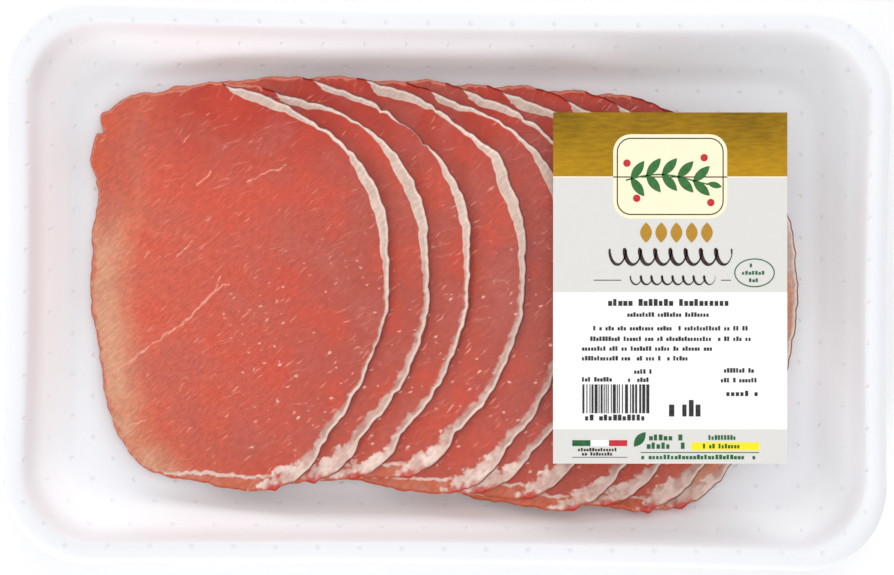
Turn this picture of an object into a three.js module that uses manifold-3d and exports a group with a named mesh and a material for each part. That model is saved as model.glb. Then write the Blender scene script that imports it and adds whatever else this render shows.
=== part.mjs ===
// Pork loin slices pack: a white foam tray with a rolled rim, eleven thin slices of loin
// shingled from left to right, each with its own strip of fat, a clear film across the
// rim, and a flat label on the film.
// Millimetres. +X runs along the tray's long side, +Z is up, and the origin lies under
// the middle of the tray's base.

import * as THREE from 'three';
import { mergeVertices } from 'three/addons/utils/BufferGeometryUtils.js';
import Module from 'manifold-3d';

// ---- Driving dimensions --------------------------------------------------------------

const GAP = 0.3; // air between pieces that lie on each other

// Tray: outer half sizes at the corners, and how far its ends and long sides bow inwards
const TRAY_HALF_LENGTH = 114.2;
const TRAY_HALF_WIDTH = 72.7;
const TRAY_HEIGHT = 30;
const TRAY_CORNER_RADIUS = 23;
const CORNER_TIGHTENING = 0.5; // how much of an inset comes off the corner radius
const END_BOW = 1.5;
const SIDE_BOW = 1.6;
const CORNER_STEPS = 8;
const SIDE_STEPS = 5;
const FLOOR_THICKNESS = 4;

// Tray wall in section, from the edge of the base round the rim to the edge of the floor,
// as [distance in from the outer edge, height]
const TRAY_SECTION = [
  [16.6, 0], [14.6, 0.6], [13.4, 2.3], [3.7, 23.4], [2.3, 25.0], [0.6, 25.7], [0, 26.8],
  [0, 28.3], [0.7, 29.4], [2.0, TRAY_HEIGHT], [3.7, TRAY_HEIGHT], [5.0, 29.5], [5.9, 28.2],
  [12.9, 11.0], [14.2, 8.2], [15.8, 5.9], [17.6, 4.5], [19.5, FLOOR_THICKNESS],
];

const FILM_THICKNESS = 0.3;
const FILM_INSET = 0.8;

const LABEL_WIDTH = 60;
const LABEL_LENGTH = 90;
const LABEL_THICKNESS = 0.3;
const LABEL_CENTRE = [57.2, 0.1];
const LABEL_TURN = 0.6; // degrees

// One slice of loin, seen from above. x runs from its left edge, y from its middle.
const SLICE_THICKNESS = 2.5;
const SLICE_PIVOT = [38.8, 0];
const SLICE_OUTLINE = [
  [10, 49.6], [22, 50.6], [35, 51.8], [52, 46.3], [65.5, 36.6], [74.5, 24.5], [77.8, 8],
  [76.8, -10], [70.8, -26.4], [62, -39.2], [54.5, -48.8], [44.6, -52.6], [30, -51],
  [15, -47.3], [6, -37], [2, -18], [0.2, 2], [2.4, 20], [0.4, 31.5], [3, 43],
];
const OUTLINE_POINTS = 64;
const WOBBLES = [ // uneven cutting, as waves round the outline: how many, how deep
  { lobes: 3, depth: 0.25 },
  { lobes: 7, depth: 0.2 },
  { lobes: 13, depth: 0.2 },
];

// The fat: where it starts and ends along the outline, in slice coordinates, and its
// width at distances along it
const FAT_START = [35, 52];
const FAT_END = [15, -47.5];
const FAT_WIDTH = [
  [0, 0.9], [20, 1.7], [40, 2.4], [54, 3.3], [66, 2.2], [78, 1.3], [100, 1.5],
  [118, 1.9], [129, 4.6], [137, 5.0], [145, 2.2], [156, 1.2], [172, 0.9],
];
const FAT_UNEVENNESS = 0.12; // how much the width differs from slice to slice
const FAT_RHYTHM = 2.3; // how fast it changes down the pile, in radians a slice

// How the slices lie, from the top one at the left to the lowest at the right: the
// distance along the tray, the distance across it, a stretch across it and a turn in degrees
const FIRST_SLICE_LEFT = -92.5;
const SLICE_LAY = [
  { along: 0, across: -0.6, stretch: 1, turn: 0.6 },
  { along: 10.1, across: 1.1, stretch: 1, turn: 0.6 },
  { along: 20.7, across: 1.9, stretch: 0.99, turn: 0.6 },
  { along: 34.7, across: 1.9, stretch: 0.985, turn: 0.6 },
  { along: 47.7, across: -0.2, stretch: 1.01, turn: 0.6 },
  { along: 55.9, across: -0.6, stretch: 1.007, turn: -1.5 },
  { along: 67.2, across: -1.4, stretch: 1.01, turn: -0.9 },
  { along: 79.3, across: -3.3, stretch: 1.034, turn: -1.5 },
  { along: 90.3, across: -2.8, stretch: 1.007, turn: -3.5 },
  { along: 101.6, across: -4.0, stretch: 1.012, turn: -4.3 },
  { along: 106.0, across: -4.1, stretch: 1, turn: 0.3 },
];
const SHORTEST_RAMP = 7; // a slice climbs over the edge of the one below in at least this

// How far the slices ride up the front wall of the tray, as [y, lift]
const WALL_LIFT = [[-64, 16], [-58.5, 5.4], [-56.5, 2.5], [-54.5, 0.9], [-51.5, 0], [64, 0]];

// ---- Finishes ------------------------------------------------------------------------

const foam = new THREE.MeshStandardMaterial({ color: 0xf2f3f5, roughness: 0.6 });
const lean = new THREE.MeshStandardMaterial({ color: 0xc96356, roughness: 0.4 });
const fat = new THREE.MeshStandardMaterial({ color: 0xe3c6b8, roughness: 0.4 });
const clear = new THREE.MeshStandardMaterial({
  color: 0xf4f8fa, roughness: 0.1, transparent: true, opacity: 0.15,
});
const paper = new THREE.MeshStandardMaterial({ color: 0xeceae4, roughness: 0.5 });

// ---- Solids --------------------------------------------------------------------------

const wasm = await Module();
wasm.setup();

/** Turns a closed BufferGeometry into a solid that can be joined and cut. */
function toSolid(geometry) {
  const bare = geometry.clone();
  bare.deleteAttribute('normal');
  bare.deleteAttribute('uv');
  const merged = mergeVertices(bare, 1e-5);
  return new wasm.Manifold(new wasm.Mesh({
    numProp: 3,
    vertProperties: new Float32Array(merged.attributes.position.array),
    triVerts: new Uint32Array(merged.index.array),
  }));
}

/** Turns a solid back into a BufferGeometry. */
function toGeometry(solid) {
  const { vertProperties, triVerts } = solid.getMesh();
  const geometry = new THREE.BufferGeometry();
  geometry.setAttribute('position', new THREE.BufferAttribute(vertProperties, 3));
  geometry.setIndex(new THREE.BufferAttribute(triVerts, 1));
  geometry.computeVertexNormals();
  return geometry;
}

/** Builds a BufferGeometry from points and triangles. */
function meshGeometry(points, triangles) {
  const geometry = new THREE.BufferGeometry();
  geometry.setAttribute('position', new THREE.Float32BufferAttribute(points.flat(), 3));
  geometry.setIndex(triangles.flat());
  geometry.computeVertexNormals();
  return geometry;
}

/** Reads a rising table of [position, value] pairs at one position. */
function readAlong(table, position) {
  const next = table.findIndex(([start]) => start >= position);
  if (next === 0) return table[0][1];
  if (next < 0) return table[table.length - 1][1];
  const [x0, y0] = table[next - 1];
  const [x1, y1] = table[next];
  return y0 + (y1 - y0) * (position - x0) / (x1 - x0);
}

// ---- Tray, film and label ------------------------------------------------------------

/** One closed turn round the tray at an inset and a height, anticlockwise. */
function trayRing(inset, height) {
  const halfLength = TRAY_HALF_LENGTH - inset;
  const halfWidth = TRAY_HALF_WIDTH - inset;
  const radius = TRAY_CORNER_RADIUS - inset * CORNER_TIGHTENING;
  const corners = [[1, 1], [-1, 1], [-1, -1], [1, -1]].map(([sideX, sideY], quarter) => {
    const centre = new THREE.Vector2(sideX * (halfLength - radius), sideY * (halfWidth - radius));
    return Array.from({ length: CORNER_STEPS + 1 }, (_, step) => {
      const angle = (quarter + step / CORNER_STEPS) * Math.PI / 2;
      return new THREE.Vector2(radius * Math.cos(angle), radius * Math.sin(angle)).add(centre);
    });
  });
  const ring = corners.flatMap((corner, quarter) => {
    const [next] = corners[(quarter + 1) % corners.length];
    const side = Array.from({ length: SIDE_STEPS - 1 }, (_, step) => (
      corner[CORNER_STEPS].clone().lerp(next, (step + 1) / SIDE_STEPS)
    ));
    return [...corner, ...side];
  });
  const pull = height / TRAY_HEIGHT;
  return ring.map(({ x, y }) => [
    x * (1 - pull * END_BOW / halfLength * (1 - (y / halfWidth) ** 2)),
    y * (1 - pull * SIDE_BOW / halfWidth * (1 - (x / halfLength) ** 2)),
    height,
  ]);
}

/** Joins equal rings into a closed skin, from a flat face underneath to one on top. */
function loft(rings) {
  const count = rings[0].length;
  const points = rings.flat();
  const triangles = [];
  for (let level = 0; level < rings.length - 1; level += 1) {
    for (let i = 0; i < count; i += 1) {
      const a = level * count + i;
      const b = level * count + (i + 1) % count;
      triangles.push([a, b, b + count], [a, b + count, a + count]);
    }
  }
  const outline = (ring) => ring.map(([x, y]) => new THREE.Vector2(x, y));
  const last = (rings.length - 1) * count;
  THREE.ShapeUtils.triangulateShape(outline(rings[0]), [])
    .forEach(([a, b, c]) => triangles.push([c, b, a]));
  THREE.ShapeUtils.triangulateShape(outline(rings[rings.length - 1]), [])
    .forEach(([a, b, c]) => triangles.push([last + a, last + b, last + c]));
  return meshGeometry(points, triangles);
}

function trayGeometry() {
  return loft(TRAY_SECTION.map(([inset, height]) => trayRing(inset, height)));
}

const FILM_BOTTOM = TRAY_HEIGHT + GAP;

function filmGeometry() {
  const outline = trayRing(FILM_INSET, TRAY_HEIGHT);
  const raise = (height) => outline.map(([x, y]) => [x, y, height]);
  return loft([raise(FILM_BOTTOM), raise(FILM_BOTTOM + FILM_THICKNESS)]);
}

function labelMesh() {
  const geometry = new THREE.BoxGeometry(LABEL_WIDTH, LABEL_LENGTH, LABEL_THICKNESS);
  const mesh = new THREE.Mesh(geometry, paper);
  const height = FILM_BOTTOM + FILM_THICKNESS + GAP + LABEL_THICKNESS / 2;
  mesh.position.set(...LABEL_CENTRE, height);
  mesh.rotation.z = THREE.MathUtils.degToRad(LABEL_TURN);
  return mesh;
}

// ---- Slices --------------------------------------------------------------------------

/** The outline of a slice as it was cut, anticlockwise seen from above, evenly spaced. */
const cutOutline = new THREE.CatmullRomCurve3(
  SLICE_OUTLINE.map(([x, y]) => new THREE.Vector3(x, y, 0)), true, 'centripetal',
).getSpacedPoints(OUTLINE_POINTS).slice(0, -1).reverse()
  .map(({ x, y }) => new THREE.Vector2(x, y));

/** The outline of one slice where it lies in the tray. */
function layOutline({ along, across, stretch, turn }, index) {
  const pivot = new THREE.Vector2(...SLICE_PIVOT);
  const place = new THREE.Vector2(FIRST_SLICE_LEFT + along, across).add(pivot);
  return cutOutline.map((cut, step) => {
    const round = 2 * Math.PI * step / OUTLINE_POINTS;
    const swell = WOBBLES.reduce(
      (sum, { lobes, depth }) => sum + depth * Math.sin(lobes * (round + index)), 0,
    );
    const point = cut.clone().sub(pivot);
    point.setLength(point.length() + swell);
    point.y *= stretch;
    return point.rotateAround(new THREE.Vector2(), THREE.MathUtils.degToRad(turn)).add(place);
  });
}

/** The step of the outline that lies nearest to one of its key points. */
function nearestStep([x, y]) {
  const distances = cutOutline.map((point) => point.distanceTo(new THREE.Vector2(x, y)));
  return distances.indexOf(Math.min(...distances));
}

/** Points inside the outline by a width that differs from point to point. */
function insetOutline(outline, widths) {
  return outline.map((point, i) => {
    const before = outline[(i + outline.length - 1) % outline.length];
    const after = outline[(i + 1) % outline.length];
    const along = after.clone().sub(before).normalize();
    return new THREE.Vector2(point.x - along.y * widths[i], point.y + along.x * widths[i]);
  });
}

/** A tall straight prism over an outline. */
function prism(outline) {
  const geometry = new THREE.ExtrudeGeometry(new THREE.Shape(outline), {
    depth: TRAY_HEIGHT * 2, bevelEnabled: false, steps: 1,
  });
  geometry.translate(0, 0, -TRAY_HEIGHT / 2);
  return toSolid(geometry);
}

const outlines = SLICE_LAY.map(layOutline);
const leftEdges = outlines.map((outline) => Math.min(...outline.map(({ x }) => x)) - GAP);
const rampStarts = leftEdges.map((edge) => {
  const earlier = leftEdges.filter((other) => other <= edge - SHORTEST_RAMP);
  return earlier.length ? Math.max(...earlier) : edge - SHORTEST_RAMP;
});

/** How high the slice lies over the floor at one place along the tray. */
function restHeight(index, x) {
  let height = 0;
  for (let under = index + 1; under < SLICE_LAY.length; under += 1) {
    const share = (x - rampStarts[under]) / (leftEdges[under] - rampStarts[under]);
    height += (SLICE_THICKNESS + GAP) * THREE.MathUtils.clamp(share, 0, 1);
  }
  return height;
}

/** A sheet as thick as a slice that climbs over the slices below and up the front wall. */
function drapedSheet(index) {
  const reach = TRAY_HALF_LENGTH * 2;
  const lines = [...new Set([-reach, ...leftEdges, ...rampStarts, reach])].sort((a, b) => a - b);
  const rows = WALL_LIFT.length;
  const points = [];
  [0, SLICE_THICKNESS].forEach((thickness) => lines.forEach((x) => {
    WALL_LIFT.forEach(([y, lift]) => {
      const height = FLOOR_THICKNESS + GAP + restHeight(index, x) + lift + thickness;
      points.push([x, y, height]);
    });
  }));
  const layer = lines.length * rows;
  const triangles = [];
  const quad = (a, b, c, d) => triangles.push([a, b, c], [a, c, d]);
  for (let i = 0; i < lines.length - 1; i += 1) {
    for (let j = 0; j < rows - 1; j += 1) {
      const corner = i * rows + j;
      quad(corner, corner + 1, corner + rows + 1, corner + rows);
      quad(layer + corner, layer + corner + rows, layer + corner + rows + 1, layer + corner + 1);
    }
    const near = i * rows;
    const far = near + rows - 1;
    quad(near, near + rows, layer + near + rows, layer + near);
    quad(far + rows, far, layer + far, layer + far + rows);
  }
  for (let j = 0; j < rows - 1; j += 1) {
    const right = (lines.length - 1) * rows + j;
    quad(j + 1, j, layer + j, layer + j + 1);
    quad(right, right + 1, layer + right + 1, layer + right);
  }
  return toSolid(meshGeometry(points, triangles));
}

/** The steps of the outline that the fat follows, anticlockwise, with its width at each. */
function fatSteps(outline, index) {
  const first = nearestStep(FAT_START);
  const count = (first - nearestStep(FAT_END) + OUTLINE_POINTS) % OUTLINE_POINTS;
  const breadth = 1 + FAT_UNEVENNESS * Math.sin(FAT_RHYTHM * index);
  const steps = [];
  let length = 0;
  for (let k = 0; k <= count; k += 1) {
    const step = (first - k + OUTLINE_POINTS) % OUTLINE_POINTS;
    if (k > 0) length += outline[step].distanceTo(outline[(step + 1) % OUTLINE_POINTS]);
    steps.push({ step, width: readAlong(FAT_WIDTH, length) * breadth });
  }
  return steps.reverse();
}

/** The outlines of a slice's lean meat and of the fat along its edge. */
function splitSlice(outline, index) {
  const steps = fatSteps(outline, index);
  const widths = new Array(OUTLINE_POINTS).fill(0);
  steps.forEach(({ step, width }) => { widths[step] = width; });
  const inner = insetOutline(outline, widths);
  const outerSide = steps.map(({ step }) => outline[step]);
  const innerSide = steps.map(({ step }) => inner[step]).reverse();
  const leanWidths = widths.map((width) => (width > 0 ? width + GAP : 0));
  return {
    fatOutline: [...outerSide, ...innerSide],
    leanOutline: insetOutline(outline, leanWidths),
  };
}

// ---- Assembly ------------------------------------------------------------------------

const pack = new THREE.Group();

function addPiece(name, geometry, material) {
  const mesh = new THREE.Mesh(geometry, material);
  mesh.name = name;
  pack.add(mesh);
}

addPiece('tray', trayGeometry(), foam);

outlines.forEach((outline, index) => {
  const number = String(index + 1).padStart(2, '0');
  const sheet = drapedSheet(index);
  const { fatOutline, leanOutline } = splitSlice(outline, index);
  addPiece(`slice_${number}_lean`, toGeometry(sheet.intersect(prism(leanOutline))), lean);
  addPiece(`slice_${number}_fat`, toGeometry(sheet.intersect(prism(fatOutline))), fat);
});

addPiece('film', filmGeometry(), clear);

const label = labelMesh();
label.name = 'label';
pack.add(label);

export default pack;
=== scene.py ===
"""Looks of a pork loin slices pack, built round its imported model.

The pack is a white foam tray under clear film, with eleven thin slices of loin shingled from left to
right and a flat label on the film. Sizes are millimetres in the tray's own frame (+X along its long
side, +Z up, origin under the middle of its base), and MM turns them into metres where a mesh is made.
"""

from __future__ import annotations

import logging
import math
from dataclasses import dataclass
from enum import Enum
from functools import reduce
from typing import Sequence, Union

import bpy
import numpy as np
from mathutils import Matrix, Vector, noise


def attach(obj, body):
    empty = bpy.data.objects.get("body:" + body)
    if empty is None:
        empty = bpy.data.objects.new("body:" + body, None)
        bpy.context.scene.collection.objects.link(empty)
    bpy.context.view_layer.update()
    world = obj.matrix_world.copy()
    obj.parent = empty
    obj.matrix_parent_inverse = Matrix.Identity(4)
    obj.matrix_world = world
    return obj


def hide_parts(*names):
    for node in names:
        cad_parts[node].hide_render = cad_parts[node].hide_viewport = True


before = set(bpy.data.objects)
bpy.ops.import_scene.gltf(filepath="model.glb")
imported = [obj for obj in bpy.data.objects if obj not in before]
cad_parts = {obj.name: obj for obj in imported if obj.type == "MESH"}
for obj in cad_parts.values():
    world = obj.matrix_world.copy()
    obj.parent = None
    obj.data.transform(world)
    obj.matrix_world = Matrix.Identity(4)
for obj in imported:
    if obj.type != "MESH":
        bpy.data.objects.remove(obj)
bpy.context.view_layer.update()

logging.basicConfig(level=logging.INFO, format="%(message)s")
LOG = logging.getLogger("loin_pack")

MM = 0.001
BODY = "root"

# Light that the gloss of a wet surface lays over its colour, and the darkest level under it
GLOSS_VEIL = 0.03
DARKEST = 0.01

Socket = bpy.types.NodeSocket
Feed = Union[Socket, float, Sequence[float]]
Colour = tuple[float, float, float, float]
# A soft step: where it starts and ends, and its values there unless they are 0 and 1
Step = tuple[float, ...]
# A cloudy noise: how wide its clouds are, and how many finer ones lie on them
Cloud = tuple[float, float]
Faces = list[tuple[int, ...]]


def tone(red: int, green: int, blue: int) -> Colour:
    """Turns an 8-bit screen colour into the linear colour that a shader takes.

    Args:
        red: Its red level.
        green: Its green level.
        blue: Its blue level.

    Returns:
        The linear colour.
    """
    def linear(level: int) -> float:
        """Undoes the screen's curve for one channel."""
        share = level / 255
        return share / 12.92 if share <= 0.04045 else ((share + 0.055) / 1.055) ** 2.4

    return (linear(red), linear(green), linear(blue), 1.0)


def under_gloss(red: int, green: int, blue: int) -> Colour:
    """Turns a screen colour of a wet surface into the colour under its veil of gloss."""
    *levels, _ = tone(red, green, blue)
    return (*(max(level - GLOSS_VEIL, DARKEST) for level in levels), 1.0)


# ---- Node trees ----


class Bench:
    """Lays out and joins the nodes of one tree."""

    def __init__(self, tree: bpy.types.NodeTree) -> None:
        """Starts on a tree."""
        self.tree = tree

    def feed(self, socket: Socket, value: Feed) -> None:
        """Links one socket to another, or sets its own value.

        Args:
            socket: The socket that takes it.
            value: Another node's output, or a plain value.
        """
        if isinstance(value, Socket):
            self.tree.links.new(value, socket)
        else:
            socket.default_value = value

    def add(self, kind: str, feeds: dict[str | int, Feed] | None = None,
            **settings: object) -> bpy.types.Node:
        """Adds a node.

        Args:
            kind: The node's type.
            feeds: What goes into its inputs, by name or number.
            settings: The node's own options.

        Returns:
            The new node.
        """
        node = self.tree.nodes.new(kind)
        for name, setting in settings.items():
            setattr(node, name, setting)
        for name, value in (feeds or {}).items():
            self.feed(node.inputs[name], value)
        return node

    def math(self, operation: str, first: Feed, second: Feed = 0.0) -> Socket:
        """Works out one sum on numbers."""
        return self.add("ShaderNodeMath", {0: first, 1: second}, operation=operation).outputs[0]

    def chain(self, operation: str, values: Sequence[Feed]) -> Socket:
        """Works several numbers into one, each with what the ones before it gave."""
        return reduce(lambda result, value: self.math(operation, result, value), values)

    def product(self, *values: Feed) -> Socket:
        """Multiplies masks and numbers together."""
        return self.chain("MULTIPLY", values)

    def sum(self, *values: Feed) -> Socket:
        """Adds masks and numbers up."""
        return self.chain("ADD", values)

    def minus(self, value: Feed, taken: Feed) -> Socket:
        """Takes one number from another."""
        return self.math("SUBTRACT", value, taken)

    def ratio(self, value: Feed, unit: Feed) -> Socket:
        """Divides one number by another."""
        return self.math("DIVIDE", value, unit)

    def distance(self, across: Feed, along: Feed) -> Socket:
        """Works out how long a way across and along is."""
        return self.math("SQRT", self.sum(self.product(across, across), self.product(along, along)))

    def smooth(self, value: Feed, start: float, end: float, low: float = 0.0, high: float = 1.0) -> Socket:
        """Turns a value into a soft step from low at start to high at end."""
        feeds = {"Value": value, "From Min": start, "From Max": end, "To Min": low, "To Max": high}
        return self.add("ShaderNodeMapRange", feeds, interpolation_type="SMOOTHSTEP").outputs[0]

    def fade(self, share: Feed, end: float) -> Socket:
        """Turns a share between 0 and 1 into a factor from 1 to an end."""
        return self.smooth(share, 0.0, 1.0, 1.0, end)

    def colour(self, share: Feed, low: Feed, high: Feed) -> Socket:
        """Mixes two colours by a share of the second."""
        feeds = {0: share, 6: low, 7: high}
        return self.add("ShaderNodeMix", feeds, data_type="RGBA").outputs[2]

    def split(self, place: Feed) -> tuple[Socket, ...]:
        """Takes a place apart into its three numbers."""
        return tuple(self.add("ShaderNodeSeparateXYZ", {0: place}).outputs)

    def join(self, across: Feed, along: Feed, up: Feed = 0.0) -> Socket:
        """Puts three numbers together as a place."""
        return self.add("ShaderNodeCombineXYZ", {0: across, 1: along, 2: up}).outputs[0]

    def scaled(self, place: Feed, scale: float) -> Socket:
        """Stretches a place evenly."""
        feeds = {0: place, "Scale": scale}
        return self.add("ShaderNodeVectorMath", feeds, operation="SCALE").outputs[0]

    def noise(self, place: Feed, size: float, detail: float = 2.0, flat: bool = False) -> Socket:
        """Reads a cloudy noise, about 0.5 in the mean; a flat one leaves out the third number."""
        feeds = {"Vector": place, "Scale": 1 / size, "Detail": detail}
        return self.add("ShaderNodeTexNoise", feeds, noise_dimensions="2D" if flat else "3D").outputs[0]

    def swing(self, place: Feed, cloud: Cloud) -> Socket:
        """Reads a flat noise that swings about 0."""
        return self.minus(self.noise(place, *cloud, flat=True), 0.5)

    def object_place(self) -> Socket:
        """Reads the place on the piece, in millimetres."""
        return self.scaled(self.add("ShaderNodeTexCoord").outputs["Object"], 1 / MM)

    def attribute(self, name: str, output: str = "Fac") -> Socket:
        """Reads what the mesh stores at its points."""
        return self.add("ShaderNodeAttribute", attribute_name=name).outputs[output]

    def scale_of_colours(self, value: Feed, stops: Sequence[tuple[float, Colour]]) -> Socket:
        """Reads a colour off a scale.

        Args:
            value: Where on the scale it is read, between 0 and 1.
            stops: The scale's positions and colours.

        Returns:
            The colour.
        """
        node = self.add("ShaderNodeValToRGB", {0: value})
        ramp = node.color_ramp
        while len(ramp.elements) < len(stops):
            ramp.elements.new(1.0)
        for element, (position, colour) in zip(ramp.elements, stops):
            element.position = position
            element.color = colour
        return node.outputs[0]

    def bump(self, height: Feed, depth: float) -> Socket:
        """Turns a height between 0 and 1 into a relief of a depth in millimetres."""
        feeds = {"Height": height, "Distance": depth * MM, "Strength": 1.0}
        return self.add("ShaderNodeBump", feeds).outputs[0]


def new_material(name: str) -> tuple[bpy.types.Material, Bench]:
    """Makes an empty node material.

    Args:
        name: The material's name.

    Returns:
        The material, and a bench on its tree.
    """
    material = bpy.data.materials.new(name)
    material.use_nodes = True
    material.node_tree.nodes.clear()
    return material, Bench(material.node_tree)


def finish_material(bench: Bench, shader: Socket) -> None:
    """Joins a shader to the material's surface."""
    bench.add("ShaderNodeOutputMaterial", {"Surface": shader})


def finish_principled(bench: Bench, colour: Feed, relief: Feed, roughness: float, specular: Feed,
                      others: dict[str, Feed] | None = None) -> None:
    """Joins a Principled shader to the material's surface.

    Args:
        bench: The material's bench.
        colour: Its base colour.
        relief: The normal of its relief.
        roughness: How rough it is.
        specular: How strong its gloss is.
        others: What goes into its other inputs, by name.
    """
    shader = bench.add("ShaderNodeBsdfPrincipled", {
        "Base Color": colour, "Roughness": roughness, "Specular IOR Level": specular, "Normal": relief,
        **(others or {}),
    })
    finish_material(bench, shader.outputs[0])


class Effect:
    """A shader node group that reads a place and puts out one mask."""

    def __init__(self, name: str, numbers: dict[str, float]) -> None:
        """Makes the group with its place, its numbers and its mask.

        Args:
            name: The group's name.
            numbers: Its numbers, by name, with their usual values.
        """
        self.tree = bpy.data.node_groups.new(name, "ShaderNodeTree")
        face = self.tree.interface
        face.new_socket(name="Place", in_out="INPUT", socket_type="NodeSocketVector")
        for label, number in numbers.items():
            socket = face.new_socket(name=label, in_out="INPUT", socket_type="NodeSocketFloat")
            socket.default_value = number
        face.new_socket(name="Mask", in_out="OUTPUT", socket_type="NodeSocketFloat")
        self.bench = Bench(self.tree)
        self.inputs = self.tree.nodes.new("NodeGroupInput").outputs
        self.mask = self.tree.nodes.new("NodeGroupOutput").inputs["Mask"]

    def put_out(self, mask: Socket) -> None:
        """Sets what the group puts out."""
        self.bench.feed(self.mask, mask)

    def use(self, bench: Bench, place: Feed, numbers: dict[str, Feed]) -> Socket:
        """Places the group in a material.

        Args:
            bench: The material's bench.
            place: Where the effect is read.
            numbers: Values for the group's own numbers.

        Returns:
            The mask.
        """
        node = bench.add("ShaderNodeGroup", node_tree=self.tree)
        bench.feed(node.inputs["Place"], place)
        for label, number in numbers.items():
            bench.feed(node.inputs[label], number)
        return node.outputs["Mask"]


class Mottle(Effect):
    """Soft blotches of a size, from a faint to a hard contrast."""

    def __init__(self) -> None:
        """Builds the group."""
        super().__init__("mottle", {"Size": 5.0, "Spread": 0.3})
        bench, inputs = self.bench, self.inputs
        scale = bench.ratio(1.0, inputs["Size"])
        cloud = bench.add("ShaderNodeTexNoise", {"Vector": inputs["Place"], "Scale": scale, "Detail": 3.0})
        centred = bench.minus(cloud.outputs[0], 0.5)
        swing = bench.ratio(centred, inputs["Spread"])
        self.put_out(bench.smooth(swing, -1.0, 1.0))


class Flecks(Effect):
    """Short flecks scattered along one direction, each of its own size and strength."""

    def __init__(self) -> None:
        """Builds the group."""
        numbers = {"Turn": 0.7, "Reach": 10.0, "Breadth": 2.5, "Fill": 0.12, "Share": 0.5}
        super().__init__("flecks", numbers)
        bench, inputs = self.bench, self.inputs
        across, along, _ = bench.split(inputs["Place"])
        sine = bench.math("SINE", inputs["Turn"])
        cosine = bench.math("COSINE", inputs["Turn"])
        lengthwise = bench.sum(bench.product(across, cosine), bench.product(along, sine))
        crosswise = bench.minus(bench.product(along, cosine), bench.product(across, sine))
        first = bench.ratio(lengthwise, inputs["Reach"])
        second = bench.ratio(crosswise, inputs["Breadth"])
        cells = bench.add("ShaderNodeTexVoronoi", {"Vector": bench.join(first, second), "Scale": 1.0},
                          voronoi_dimensions="2D")
        luck = bench.split(cells.outputs["Color"])
        size = bench.product(inputs["Fill"], bench.smooth(luck[1], 0.0, 1.0, 0.45, 1.5))
        nearness = bench.ratio(cells.outputs["Distance"], size)
        spot = bench.smooth(nearness, 0.3, 1.15, 1.0, 0.0)
        chosen = bench.math("LESS_THAN", luck[0], inputs["Share"])
        self.put_out(bench.product(spot, chosen, bench.smooth(luck[2], 0.0, 1.0, 0.3, 1.0)))


class Streak(Effect):
    """One thin vein between two points."""

    def __init__(self) -> None:
        """Builds the group."""
        numbers = {"From X": 0.0, "From Y": 0.0, "To X": 1.0, "To Y": 0.0, "Width": 0.4}
        super().__init__("streak", numbers)
        bench, inputs = self.bench, self.inputs
        across, along, _ = bench.split(inputs["Place"])
        reach_x = bench.minus(inputs["To X"], inputs["From X"])
        reach_y = bench.minus(inputs["To Y"], inputs["From Y"])
        away_x = bench.minus(across, inputs["From X"])
        away_y = bench.minus(along, inputs["From Y"])
        dot = bench.sum(bench.product(away_x, reach_x), bench.product(away_y, reach_y))
        square = bench.sum(bench.product(reach_x, reach_x), bench.product(reach_y, reach_y))
        share = bench.smooth(bench.ratio(dot, square), 0.0, 1.0)
        share.node.interpolation_type = "LINEAR"
        off_x = bench.minus(away_x, bench.product(reach_x, share))
        off_y = bench.minus(away_y, bench.product(reach_y, share))
        nearness = bench.ratio(bench.distance(off_x, off_y), inputs["Width"])
        self.put_out(bench.smooth(nearness, 0.3, 1.0, 1.0, 0.0))


class Dimples(Effect):
    """Small round dents in a staggered lattice."""

    def __init__(self) -> None:
        """Builds the group."""
        super().__init__("dimples", {"Pitch": 10.8, "Radius": 0.7})
        bench, inputs = self.bench, self.inputs
        across, along, _ = bench.split(inputs["Place"])
        spacing = bench.product(inputs["Pitch"], 0.5)
        row = bench.ratio(along, spacing)
        stagger = bench.product(bench.math("FLOOR", row), 0.5)
        column = bench.sum(bench.ratio(across, inputs["Pitch"]), stagger)
        off_x = bench.product(bench.minus(bench.math("FRACT", column), 0.5), inputs["Pitch"])
        off_y = bench.product(bench.minus(bench.math("FRACT", row), 0.5), spacing)
        nearness = bench.ratio(bench.distance(off_x, off_y), inputs["Radius"])
        self.put_out(bench.smooth(nearness, 0.2, 1.0, 1.0, 0.0))


@dataclass(frozen=True)
class Effects:
    """The node groups that the finishes share."""

    mottle: Mottle
    flecks: Flecks
    streak: Streak
    dimples: Dimples


def build_effects() -> Effects:
    """Builds every shared node group once."""
    return Effects(Mottle(), Flecks(), Streak(), Dimples())


# ---- Meshes ----


def make_piece(name: str, points: np.ndarray, faces: Faces, smooth: bool = True) -> bpy.types.Object:
    """Makes a mesh object in the frame.

    Args:
        name: The piece's name.
        points: Its points in millimetres.
        faces: The point numbers of each face.
        smooth: Whether its shading runs over the edges.

    Returns:
        The linked object.
    """
    mesh = bpy.data.meshes.new(name)
    mesh.from_pydata((points * MM).tolist(), [], faces)
    mesh.polygons.foreach_set("use_smooth", [smooth] * len(mesh.polygons))
    mesh.update()
    piece = bpy.data.objects.new(name, mesh)
    bpy.context.scene.collection.objects.link(piece)
    return piece


def store(piece: bpy.types.Object, name: str, values: np.ndarray) -> None:
    """Stores a number, or a place, at each point of a piece.

    Args:
        piece: The piece.
        name: What the materials read it by.
        values: A number or three for each point.
    """
    kind, field = ("FLOAT", "value") if values.ndim == 1 else ("FLOAT_VECTOR", "vector")
    attribute = piece.data.attributes.new(name, kind, "POINT")
    attribute.data.foreach_set(field, np.ascontiguousarray(values, dtype=np.float32).ravel())


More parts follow.
